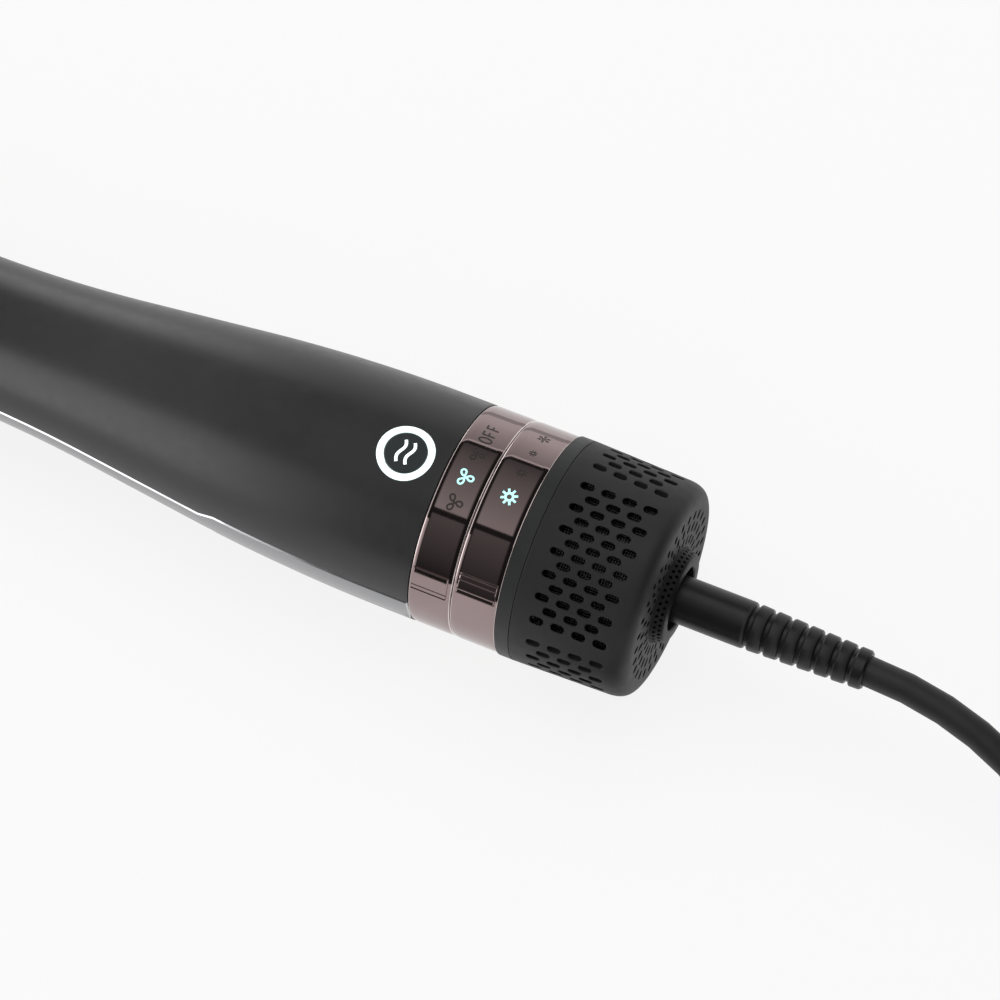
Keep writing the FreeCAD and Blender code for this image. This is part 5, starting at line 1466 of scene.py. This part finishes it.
@dataclass(frozen=True)
class DialRing:
    """A mirror-bright dial ring with two raised grips and its signs.

    Attributes:
        lips: How far its outside reaches past its start and its end.
        ridge_turns: The grip's ridges, in degrees.
        foot: How deep the outside's edges reach.
        crown: How far the outside is crowned beside each edge.
        grip_heights: The grip's height on its two sides.
        grip_margin: From the ring's edges to the grip.
        ridge_half: Half a ridge's width.
        ridge_shape: A ridge's corners: their places in its half width, and their lifts.
        lug: The wiper's lug: half its side, and its near end's distance from the axis.
        steps: Edges on a bevel, and on a crown.
    """

    name: str
    node: str
    body: Body
    start: float
    end: float
    grip_turn: float
    grip_arc: float
    marks: tuple[Mark, ...]
    lips: Pair = (0.09, 0.33)
    ridge_turns: tuple[float, ...] = (62.6, 65.0)
    radius: float = 26.0
    wall: float = 2.1
    foot: float = 0.72
    bevel: float = 0.34
    crown: float = 1.5
    crown_drop: float = 0.14
    grip_heights: Pair = (0.45, 0.5)
    grip_margin: float = 0.7
    grip_bevel: float = 0.25
    ridge_half: float = 0.2
    ridge_shape: tuple[Pair, ...] = (
        (-1, -0.15), (-0.75, 0.1), (-0.3, 0.19), (0.3, 0.19), (0.75, 0.1), (1, -0.15),
    )
    lug: Pair = (2.0, 18.5)
    sign_height: float = 0.03
    steps: int = 6

    @property
    def middle(self) -> float:
        """The ring's middle along the axis."""
        return (self.start + self.end) / 2

    def build(self) -> None:
        """Makes the ring with its grips and signs."""
        form = Form()
        inner, foot = self.radius - self.wall, self.radius - self.foot
        start, end = self.start - self.lips[0], self.end + self.lips[1]
        # The bevel strips take finish 1, a lighter copy of the bronze that paints the edge highlight.
        edge_highlight = [1] * self.steps
        profile = [(self.start, inner), (self.start, foot), (start, foot), *self.edge(start, 1),
                   *reversed(self.edge(end, -1)), (end, foot), (self.end, foot), (self.end, inner)]
        form.lathe(profile, steps=180, finishes=[0, 0, 0, *edge_highlight, *[0] * (2 * self.steps + 1), *edge_highlight])
        for turn in (0.0, 180.0):
            self.grip(form, math.radians(self.grip_turn + turn))
            for ridge in self.ridge_turns:
                self.ridge(form, math.radians(ridge + turn), math.radians(self.grip_turn + turn))
        side, near = self.lug
        form.loft([Vector((self.middle + x, y, -radius)) for x, y in oblong((-side, -side), (side, side))]
                  for radius in (near, inner + 0.5))
        fit(form.make(self.name, DARK_BRONZE, RING_EDGE_HIGHLIGHT, sharp=20.0), self.body, Slot.RING, self.node)
        lit, plain, faint = Form(), Form(), Form()
        for mark in self.marks:
            self.draw(lit if mark.lit else faint if mark.faint else plain, mark)
        for part, suffix, finish, slot in (
            (lit, "lit", TEAL_GLOW, Slot.LIGHT), (plain, "print", SIGN_GREY, Slot.RING),
            (faint, "faint", SIGN_FAINT, Slot.RING),
        ):
            if part.faces:
                fit(part.make(f"{self.name}_{suffix}", finish), self.body, slot)

    def edge(self, x: float, inwards: int) -> list[Pair]:
        """A bevelled edge and the softly crowned strip beside it.

        Args:
            x: The edge's place along the axis.
            inwards: 1 where the ring lies at larger x and -1 where it lies at smaller x.

        Returns:
            The outline's corners, from the edge inwards.
        """
        lean = math.atan(2 * self.crown_drop / self.crown)
        level = self.radius - self.crown_drop - self.bevel * math.cos(lean)
        corners = [(x + inwards * self.bevel * (1 - math.sin(tilt)), level + self.bevel * math.cos(tilt))
                   for tilt in stepped(math.pi / 2, lean, self.steps)]
        reach, shoulder = inwards * self.crown, corners[-1][0]
        return corners + [(shoulder + reach * share, self.radius - self.crown_drop * (1 - share) ** 2)
                          for share in stepped(0, 1, self.steps)[1:]]

    def ridge(self, form: Form, turn: float, grip: float) -> None:
        """Adds one fine ridge of a grip.

        Args:
            form: The form that takes it.
            turn: Where it lies, in radians.
            grip: Where the grip's middle lies.
        """
        half = math.radians(self.grip_arc / 2)
        share = min(max((turn - grip + half) / (2 * half), 0.0), 1.0)
        top = self.radius + between(self.grip_heights, share)
        form.loft([around(x, top + lift, turn + side * self.ridge_half / self.radius)
                   for side, lift in self.ridge_shape]
                  for x in (self.start + self.grip_margin, self.end - self.grip_margin))

    def grip(self, form: Form, turn: float) -> None:
        """Adds one raised grip with bevelled edges.

        Args:
            form: The form that takes it.
            turn: Where its middle lies, in radians.
        """
        half = math.radians(self.grip_arc / 2)
        start, end = self.start + self.grip_margin, self.end - self.grip_margin
        steps, bevel, sunk = 12, self.grip_bevel, 0.05
        rings = []
        for inset, lowered in ((0.0, None), (0.0, bevel), (bevel * 0.3, bevel * 0.3), (bevel, 0.0)):
            reach = half - inset / self.radius
            row = []
            for share in stepped(0, 1, steps):
                height = between(self.grip_heights, share)
                lift = -0.3 if lowered is None else max(height - lowered, -sunk)
                row.append((self.radius + lift, turn + between((-reach, reach), share)))
            rings.append(form.ring([around(start + inset, *spot) for spot in row]
                                   + [around(end - inset, *spot) for spot in reversed(row)]))
        for first, second in zip(rings, rings[1:]):
            form.bridge(first, second)
        for ring in (rings[-1], rings[0]):
            for index in range(steps):
                form.face((ring[index], ring[index + 1], ring[-2 - index], ring[-1 - index]))

    def draw(self, form: Form, mark: Mark) -> None:
        """Draws one sign.

        Args:
            form: The form that takes it.
            mark: The sign and its place.
        """
        scale, turn = mark.size / 2, math.radians(mark.turn)

        def onto(along: float, up: float, depth: float) -> Vector:
            """Puts a place of the sign on the ring. It reads towards the far side."""
            radius = self.radius + self.sign_height - depth
            return around(self.middle - scale * up, radius, turn - scale * along / self.radius)

        for line in lines_of(mark.sign):
            stroke(form, line.spots, line.width, onto, line.closed)
        if mark.sign is Sign.FAN:
            hub = circle(0, 0, 0.17, steps=12)
            form.loft([onto(*point, depth) for point in hub] for depth in (0.0, SIGN_DEPTH))


SPEED_RING = DialRing(
    "speed_dial", "speed_ring", Body.SPEED, 0.15, 9.95, 59.0, 13.0,
    (Mark(Sign.OFF, -27.6, 4.2), Mark(Sign.FAN, -12.6, 3.8, faint=True), Mark(Sign.FAN, 1.3, 4.2, lit=True),
     Mark(Sign.FAN, 15.0, 4.2)),
)
HEAT_RING = DialRing(
    "heat_dial", "heat_ring", Body.HEAT, 10.7, 21.3, 52.0, 12.0,
    (Mark(Sign.SUN, 2.6, 3.9, lit=True), Mark(Sign.SUN, -12.0, 2.6, faint=True), Mark(Sign.SUN, -25.6, 1.9),
     Mark(Sign.SNOW, -39.5, 3.2)),
    lips=(0.33, 0.09), ridge_turns=(47.2, 50.0, 55.0, 57.4), grip_heights=(0.1, 0.5),
)


# Filter cap and cord sleeve
@dataclass(frozen=True)
class FilterCap:
    """The filter cap: a wall with four slotted panels, a round corner, a perforated end and a boss.

    Attributes:
        shoulder: Where the round corner starts.
        face: Its end face.
        rim: The plain strip at the open end.
        radii: The wall's radius at the open end and at the corner.
        face_radius: The end face's edge.
        corner_pulls: How far the round corner keeps to the wall, and to the end face's edge.
        boss_radii: The boss's radius at its root and at its top.
        boss_end: The boss's end.
        hole: The radius of the recess for the lead.
        panel_turn: The first panel, in degrees from the button line.
        row_pitch: From row to row of slots.
        slot: A slot's length, width and pitch along a row.
        slot_start: The first slot's middle, past the open end.
        petal_rings: The end's rings of openings: their radius, length and width.
        fine_holes: The boss's holes: how many round it, their radius, the first row and the pitch.
    """

    start: float = 24.85
    shoulder: float = 47.65
    face: float = 52.45
    rim: float = 0.2
    radii: Pair = (26.28, 25.6)
    face_radius: float = 21.4
    corner_pulls: Pair = (3.4, 2.6)
    boss_radii: Pair = (11.4, 10.4)
    boss_end: float = 55.35
    hole: float = 7.6
    wall: float = 2.0
    panel_turn: float = 19.4
    panels: int = 4
    rows: int = 13
    row_pitch: float = 2.62
    slot: Triple = (3.3, 1.6, 5.0)
    slot_start: float = 5.85
    petal_rings: tuple[Triple, ...] = ((13.3, 2.3, 0.95), (16.3, 2.5, 1.2), (19.2, 2.3, 1.4))
    petals: int = 30
    fine_holes: tuple[int, float, float, float] = (44, 0.36, 0.85, 1.1)

    def radius_at(self, x: float) -> float:
        """The wall's radius at a place along the axis."""
        return between(self.radii, (x - self.start) / (self.shoulder - self.start))

    def panel_wrap(self, turn: float) -> Wrap:
        """The wrap of one panel: along the axis, and round it by the open end's radius.

        Args:
            turn: The panel's middle, in radians.

        Returns:
            The wrap. Openings run straight in, side by side, as a mould pulls them.
        """
        flat_reach = self.rows * self.row_pitch / 2 + 0.3
        sector = math.pi / self.panels

        def onto(u: float, v: float, depth: float) -> Vector:
            """Puts one place of the panel's layout onto the wall.

            Args:
                u: The place along the axis.
                v: The place round it.
                depth: How deep below the surface.

            Returns:
                The point.
            """
            radius = self.radius_at(u)
            angle = v / self.radii[0]
            chord = radius * math.sin(angle)
            if depth:
                straight = math.asin(max(min(chord / (radius - depth), 1.0), -1.0)) - angle
                edge = radius * math.sin(sector)
                fade = 1.0 if abs(chord) < flat_reach else max(edge - abs(chord), 0.0) / (edge - flat_reach)
                angle += straight * fade
            return around(u, radius - depth, turn + angle)
        return onto

    def wall_slots(self) -> list[Loop]:
        """One panel's slots in its layout."""
        length, width, pitch = self.slot
        loops = []
        for row in range(self.rows):
            chord = self.row_pitch * (row - (self.rows - 1) / 2)
            for number in range(4 - row % 2):
                x = self.start + self.slot_start + pitch * (number + row % 2 / 2)
                loops.append([flat(p.x, math.asin(p.y / self.radius_at(p.x)) * self.radii[0])
                              for p in slot_loop(x, chord, length, width)])
        return loops

    def corner_profile(self) -> Loop:
        """The round corner from the wall to the end face, on a smooth curve."""
        lean = (self.radii[0] - self.radii[1]) / (self.shoulder - self.start)
        first, last = flat(self.shoulder, self.radii[1]), flat(self.face, self.face_radius)
        along, down = self.corner_pulls
        pulls = (first, first + flat(1, -lean).normalized() * along, last + flat(0, down), last)
        return [curve(pulls, share) for share in stepped(0, 1, 12)]

    def build(self) -> None:
        """Makes the cap."""
        form = Form()
        start, rim, radius = self.start, self.start + self.rim, self.radii[0]
        half = math.pi / self.panels * radius
        stations, across = (30, 36, 42), stepped(-half, half, 30)
        outline = [flat(rim, -half), *[flat(x, -half) for x in stations],
                   *[flat(self.shoulder, v) for v in across], *[flat(x, half) for x in reversed(stations)],
                   *[flat(rim, v) for v in reversed(across[1:])]]
        slots = self.wall_slots()
        for panel in range(self.panels):
            onto = self.panel_wrap(math.radians(self.panel_turn + 360 / self.panels * panel))
            Sheet(outline, slots, onto, self.wall, (2.4, 1.35), lip=0.14, edge=0.0).build(form, inner=1)
        inner = radius - self.wall
        form.lathe([(rim, inner), (start, inner), (start, radius - 0.16), (start + 0.05, radius - 0.05),
                    (rim, self.radius_at(rim))], steps=120)
        ledge, inner = self.face_radius - 0.5, self.radii[1] - self.wall
        form.lathe([*self.corner_profile(), (self.face, ledge), (self.face - self.wall, ledge),
                    (self.shoulder + 0.4, inner), (self.shoulder, inner)], steps=120)
        self.end_face(form)
        self.boss(form)
        # Finish 1, on the inner side and in the openings, and finish 2, on the boss, are painted shade.
        fit(form.make("filter_cap_shell", CAP_GREY, CAP_INSIDE_SHADE, BOSS_SHADE), Body.CAP, Slot.CAP, "filter_cap")

    def end_face(self, form: Form) -> None:
        """Adds the perforated end.

        Args:
            form: The cap's form.
        """
        def onto(u: float, v: float, depth: float) -> Vector:
            """Puts one place of the end's layout, seen from the lead's side, onto it."""
            return Vector((self.face - depth, u, v))
        openings = [circle(0, 0, self.boss_radii[0], steps=60)]
        for number, (radius, length, width) in enumerate(self.petal_rings):
            for petal in range(self.petals):
                turn = math.tau * (petal + number % 2 / 2) / self.petals
                openings.append(slot_loop(*spun(radius, 0, turn), length, width, turn, steps=3))
        outline = circle(0, 0, self.face_radius - 0.5, steps=90)
        Sheet(outline, openings, onto, self.wall, (50, 50), lip=0.1, edge=0.0).build(form, inner=1)

    def boss(self, form: Form) -> None:
        """Adds the boss with its fine holes and the recess for the lead.

        Args:
            form: The cap's form.
        """
        count, radius, first, pitch = self.fine_holes
        mean, height, top = sum(self.boss_radii) / 2, self.boss_end - self.face, self.boss_end
        whole = math.tau * mean
        holes = [circle(first + row * pitch, whole * (number + row / 2) / count, radius, steps=8)
                 for row in range(2) for number in range(count)]

        def onto(u: float, v: float, depth: float) -> Vector:
            """Puts one place of the boss's side layout onto it."""
            return around(self.face + u, between(self.boss_radii, u / height) - depth, v / mean)
        shift, steps, under, bevel = -whole / count / 4, 2 * count, 0.1, 0.5
        ways = stepped(shift, shift + whole, steps)
        outline = [*[flat(-under, v) for v in reversed(ways)], *[flat(height - bevel, v) for v in ways]]
        Sheet(outline, holes, onto, 1.2, (50, 50), lip=0.05, edge=0.0).build(form, finish=2, inner=1)
        edge, hole, foot = self.boss_radii[1], self.hole, self.face - self.wall
        form.lathe([(top - bevel, edge + 0.17), (top - 0.15, edge), (top, edge - 0.35), (top, hole + 0.3),
                    (top - 0.3, hole), (foot, hole), (foot, hole + 1.2), (top - 1.2, hole + 1.2),
                    (top - 1.2, edge - 0.9), (top - bevel, edge - 0.9)], steps, finish=2)


@dataclass(frozen=True)
class CordSleeve:
    """The lead's sleeve: smooth where it leaves the cap, ribbed and tapered further out.

    Attributes:
        neck: The neck that sits in the bush, from and to.
        groove: The corners of the groove between two ribs: past its start, and how deep.
    """

    start: float = 25.95
    smooth_end: float = 72.05
    radii: Pair = (5.5, 4.6)
    bore: float = 2.6
    neck: Pair = (29.6, 32.9)
    neck_radius: float = 4.4
    ribs: int = 7
    groove: tuple[Pair, ...] = ((-0.3, 0), (0, 0.2), (0.1, 0.75), (0.9, 0.75), (1.0, 0.2), (1.3, 0))

    def build(self) -> Piece:
        """Makes the sleeve."""
        end, radius = DATUM.box("cord_sleeve")[1].x, self.radii[0]
        profile = [(self.start, self.bore), (self.start, radius - 0.5), (self.start + 0.5, radius),
                   (self.neck[0], radius), (self.neck[0], self.neck_radius), (self.neck[1], self.neck_radius),
                   (self.neck[1], radius), (self.smooth_end - 1.0, radius)]
        for rib in range(self.ribs):
            place = self.smooth_end + (end - self.smooth_end) / self.ribs * rib
            radius = between(self.radii, (rib + 0.5) / self.ribs)
            profile += [(place + shift, radius - drop) for shift, drop in self.groove]
        profile += [(end - 0.5, self.radii[1]), (end, self.radii[1] - 0.4), (end, self.bore)]
        form = Form()
        form.lathe(profile, steps=64)
        return fit(form.make("lead_sleeve", SLEEVE_BLACK), Body.SWIVEL, Slot.CORD, "cord_sleeve")


# Brush head
@dataclass(frozen=True)
class Oval:
    """The head's section: two wide arcs joined by two narrow ones."""

    half_width: float = 27.0
    half_height: float = 17.5
    side_radius: float = 11.0

    @property
    def side_centre(self) -> float:
        """The narrow arcs' middle, beside the axis."""
        return self.half_width - self.side_radius

    @property
    def top_radius(self) -> float:
        """The wide arcs' radius."""
        rise = self.half_height - self.side_radius
        return (self.side_centre**2 + self.half_height**2 - self.side_radius**2) / (2 * rise)

    @property
    def drop(self) -> float:
        """From the axis to a wide arc's middle."""
        return self.top_radius - self.half_height

    @property
    def joint(self) -> float:
        """The turn at which a wide arc meets a narrow one."""
        return math.atan2(self.side_centre, self.drop)

    @property
    def row(self) -> float:
        """From one row of vents or bristles to the next, as a turn of the wide arc."""
        return 2 * self.joint / 9

    @property
    def perimeter(self) -> float:
        """Once round."""
        return 4 * self.joint * self.top_radius + 2 * (math.pi - 2 * self.joint) * self.side_radius

    def at(self, way: float, depth: float = 0.0) -> Pair:
        """A point of the section.

        Args:
            way: How far round, from the top towards +y.
            depth: How far in from the surface.

        Returns:
            The point across and up.
        """
        halves, way = divmod(way % self.perimeter, self.perimeter / 2)
        flip = 1 - 2 * halves
        wide = self.joint * self.top_radius
        narrow = (math.pi - 2 * self.joint) * self.side_radius
        radius, across, up = self.top_radius, 0.0, -self.drop
        if way <= wide:
            turn = way / radius
        elif way <= wide + narrow:
            radius, across, up = self.side_radius, self.side_centre, 0.0
            turn = self.joint + (way - wide) / radius
        else:
            up = self.drop
            turn = math.pi - self.joint + (way - wide - narrow) / radius
        reach = radius - depth
        return flip * (across + reach * math.sin(turn)), flip * (up + reach * math.cos(turn))


@dataclass(frozen=True)
class BrushHead:
    """The neck collar, the vented barrel, its bristle strips and the cool tip.

    Attributes:
        vent: A vent's length, width and pitch.
        rail: Half a rail's width, how deep it sits and how high it stands.
        pin_ball: The outline of a pin's ball: past the pin's top, and its radius.
        side_reach: How high the pins of the narrow sides stand.
        hairs: How many hairs a tuft has.
        tip_shape: How far the tip tapers, how far its front rounds, and the corner's depth.
    """

    oval: Oval = Oval()
    neck: float = -126.0
    barrel_start: float = -142.0
    barrel_end: float = -268.0
    wall: float = 1.5
    vents: int = 7
    vent: Triple = (11.0, 2.4, 16.0)
    rail: Triple = (1.5, -0.2, 0.85)
    pins: int = 8
    pin_ball: tuple[Pair, ...] = (
        (-1.15, 0.36), (-1.0, 0.42), (-0.8, 0.56), (-0.45, 0.64), (-0.15, 0.48), (0, 0.18),
    )
    side_reach: float = 9.3
    hairs: int = 14
    tip_shape: Triple = (20.0, 4.0, 3.6)
    tip_slope: float = math.tan(math.radians(13.0))
    sides: int = 96

    def ring(self, x: float, inset: float = 0.0, roundness: float = 0.0) -> Loop:
        """One ring of the head.

        Args:
            x: Its place along the axis.
            inset: How far it lies inside the surface.
            roundness: 0 for the oval, 1 for the neck's circle, or between them.

        Returns:
            The ring.
        """
        radius = HandleForm().radius_at(self.neck) - inset
        points = []
        for way in stepped(0, self.oval.perimeter, self.sides)[:-1]:
            y, z = self.oval.at(way, inset)
            angle = math.atan2(y, z)
            points.append(Vector((x, between((y, radius * math.sin(angle)), roundness),
                                  between((z, radius * math.cos(angle)), roundness))))
        return points

    def build(self) -> None:
        """Makes the head."""
        self.collar()
        self.barrel()
        self.bristles()
        self.tip()

    def collar(self) -> None:
        """The collar, from the round neck to the oval."""
        form = Form()
        bevel, depth, ends = 0.25, 2.2, (self.neck, self.barrel_start)
        rings = [self.ring(ends[0], depth, 1.0), self.ring(ends[0], bevel, 1.0)]
        rings += [self.ring(between((ends[0] - bevel, ends[1] + bevel), share), 0.0, 1 - ease(share))
                  for share in stepped(0, 1, 14)]
        form.tube([*rings, self.ring(ends[1], bevel), self.ring(ends[1], depth)])
        fit(form.make("collar", COLLAR_BLACK), Body.HANDLE, Slot.TIP, "neck_collar")

    def barrel(self) -> None:
        """The vented barrel."""
        oval, ends = self.oval, (self.barrel_end, self.barrel_start)

        def onto(u: float, v: float, depth: float) -> Vector:
            """Puts one place of the barrel's layout onto it."""
            return Vector((u, *oval.at(v, depth)))
        step = oval.row * oval.top_radius
        length, width, pitch = self.vent
        places = [sum(ends) / 2 + pitch * (number - (self.vents - 1) / 2) for number in range(self.vents)]
        openings = [slot_loop(x, half + row * step, length, width)
                    for half in (0.0, oval.perimeter / 2) for row in (-2, 0, 2) for x in places]
        stations, ways = stepped(*ends, 20), stepped(-4.5 * step, -4.5 * step + oval.perimeter, 100)
        outline = [*[flat(x, ways[0]) for x in stations], *[flat(ends[1], way) for way in ways[1:-1]],
                   *[flat(x, ways[-1]) for x in reversed(stations)],
                   *[flat(ends[0], way) for way in reversed(ways[1:-1])]]
        form = Form()
        Sheet(outline, openings, onto, self.wall, (6.0, 1.6), lip=0.25, edge=0.0).build(form)
        fit(form.make("barrel", BARREL_COAT), Body.HANDLE, Slot.BARREL, "vented_barrel")

    def bristles(self) -> None:
        """The bristle strips: a rail with ball-tipped pins and tufts between them."""
        oval = self.oval
        places = [(row * oval.row, Vector((0, 0, -oval.drop)), oval.top_radius) for row in (-3, -1, 1, 3)]
        places.append((math.pi / 2, Vector((0, oval.side_centre, 0)), oval.side_radius))
        turned = [(*place, flip) for flip in (1, -1) for place in places]
        for number, (turn, middle, radius, flip) in enumerate(turned, 1):
            self.strip(f"bristle_strip_{number:02d}", turn, middle, radius, flip)

    def strip(self, node: str, turn: float, middle: Vector, radius: float, flip: int) -> None:
        """One strip.

        Args:
            node: The CAD node that it stands for.
            turn: Its turn on its arc, from up towards +y.
            middle: Its arc's middle.
            radius: Its arc's radius.
            flip: 1, or -1 for the opposite strip.
        """
        low, high = DATUM.box(node)
        out, across = Vector((0, *spun(0, 1, -turn))), Vector((0, *spun(1, 0, -turn)))
        root = middle + out * radius
        reach = self.side_reach
        if abs(turn) < self.oval.row * 2:
            reach = ((high.z if flip > 0 else -low.z) - root.z) / math.cos(turn)

        def spot(x: float, side: float, lift: float) -> Vector:
            """A point of the strip: along, across and out."""
            point = root + across * side + out * lift
            return Vector((x, flip * point.y, flip * point.z))

        form = Form()
        margin, bevel = 4, 0.3
        start, end = self.barrel_end + margin, self.barrel_start - margin
        half, foot, top = self.rail
        profile = softened(oblong((-half, foot), (half, top)), 0.4, steps=3)
        form.loft([spot(x, *point) for point in shifted(profile, -inset)] for x, inset in
                  ((start, bevel), (start + bevel, 0.0), (end - bevel, 0.0), (end, bevel)))
        stations = stepped(start + margin, end - margin, self.pins - 1)
        pin = [(0.0, 0.78), (0.9, 0.62), (reach / 2, 0.46),
               *[(reach + lift, wide) for lift, wide in self.pin_ball]]
        for x in stations:
            form.loft(([spot(x + u, v, lift) for u, v in circle(0, 0, wide, 10)] for lift, wide in pin), 1)
        for x in [(first + second) / 2 for first, second in zip(stations, stations[1:])]:
            for hair in range(self.hairs):
                ends = ((0.6, 0.13, 0.22), (reach * (0.8 - 0.012 * (hair % 5)), 0.09, 0.42))
                form.loft(([spot(x + u, v, lift) for u, v in
                            circle(*spun(away * math.sqrt(hair), 0, 2.4 * hair), wide, 5)]
                           for lift, wide, away in ends), 1)
        fit(form.make(f"{node}_dressed", RAIL_BLACK, PIN_NYLON), Body.HANDLE, Slot.BRISTLE, node)

    def tip(self) -> None:
        """The cool tip: a tapered oval end with a rounded front."""
        form = Form()
        base, (last, front, corner) = self.barrel_end, self.tip_shape
        rings = [self.ring(base, 1.6), self.ring(base, 0.2), self.ring(base - 0.2, 0.05)]
        rings += [self.ring(base - ahead, ahead * self.tip_slope) for ahead in (2, 6, 10, 14, 18)]
        for angle in stepped(0, math.pi / 2, 7)[1:]:
            inset = last * self.tip_slope + corner * (1 - math.cos(angle))
            rings.append(self.ring(base - last - front * math.sin(angle), inset))
        rings.append(self.ring(base - last - front, last * self.tip_slope + corner + 1.5))
        form.loft(rings)
        fit(form.make("cool_tip_cap", TIP_BLACK), Body.HANDLE, Slot.TIP, "cool_tip")


# What stays as the frame made it. A node without an entry gets FRAME_BLACK.
INNER_FINISHES: dict[str, Finish] = {
    "fan_impeller": COLLAR_BLACK, "swivel_bush": BUSH_WHITE, "ion_switch": COLLAR_BLACK,
    "ion_generator": COLLAR_BLACK, "circuit_board": BOARD_GREEN, "selector_board": BOARD_GREEN,
    "detent_pins": BARE_STEEL, "frame_screws": BARE_STEEL, "motor_shaft": BARE_STEEL,
    "heater_coil": BARE_STEEL, "motor": LINER_TIN, "heater_liner": LINER_TIN, "thermal_fuse": LINER_TIN,
    "heater_frame": MICA,
    "ion_emitter": BUSH_WHITE, "speed_wiper": CONTACT_BRASS, "heat_wiper": CONTACT_BRASS,
    "filter_screen": SCREEN_STEEL,
}


def dress_inner_nodes() -> None:
    """Gives each CAD node that still shows its finish."""
    for name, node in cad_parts.items():
        if node.hide_render:
            continue
        finish = INNER_FINISHES.get(name, FRAME_BLACK)
        node.data.materials.clear()
        node.data.materials.append(finish.material())
        LOG.info("%s keeps its CAD shape in %s", name, finish.name)


def main() -> None:
    """Builds the studio and every piece of the brush."""
    logging.basicConfig(level=logging.INFO, format="%(message)s")
    Viewpoint().set_up()
    Studio().set_up()
    sleeve = CordSleeve().build()
    Lead().build(Plug(), sleeve)
    Handle().build()
    IonButton().build()
    SPEED_RING.build()
    HEAT_RING.build()
    FilterCap().build()
    BrushHead().build()
    dress_inner_nodes()


if __name__ == "__main__":
    main()
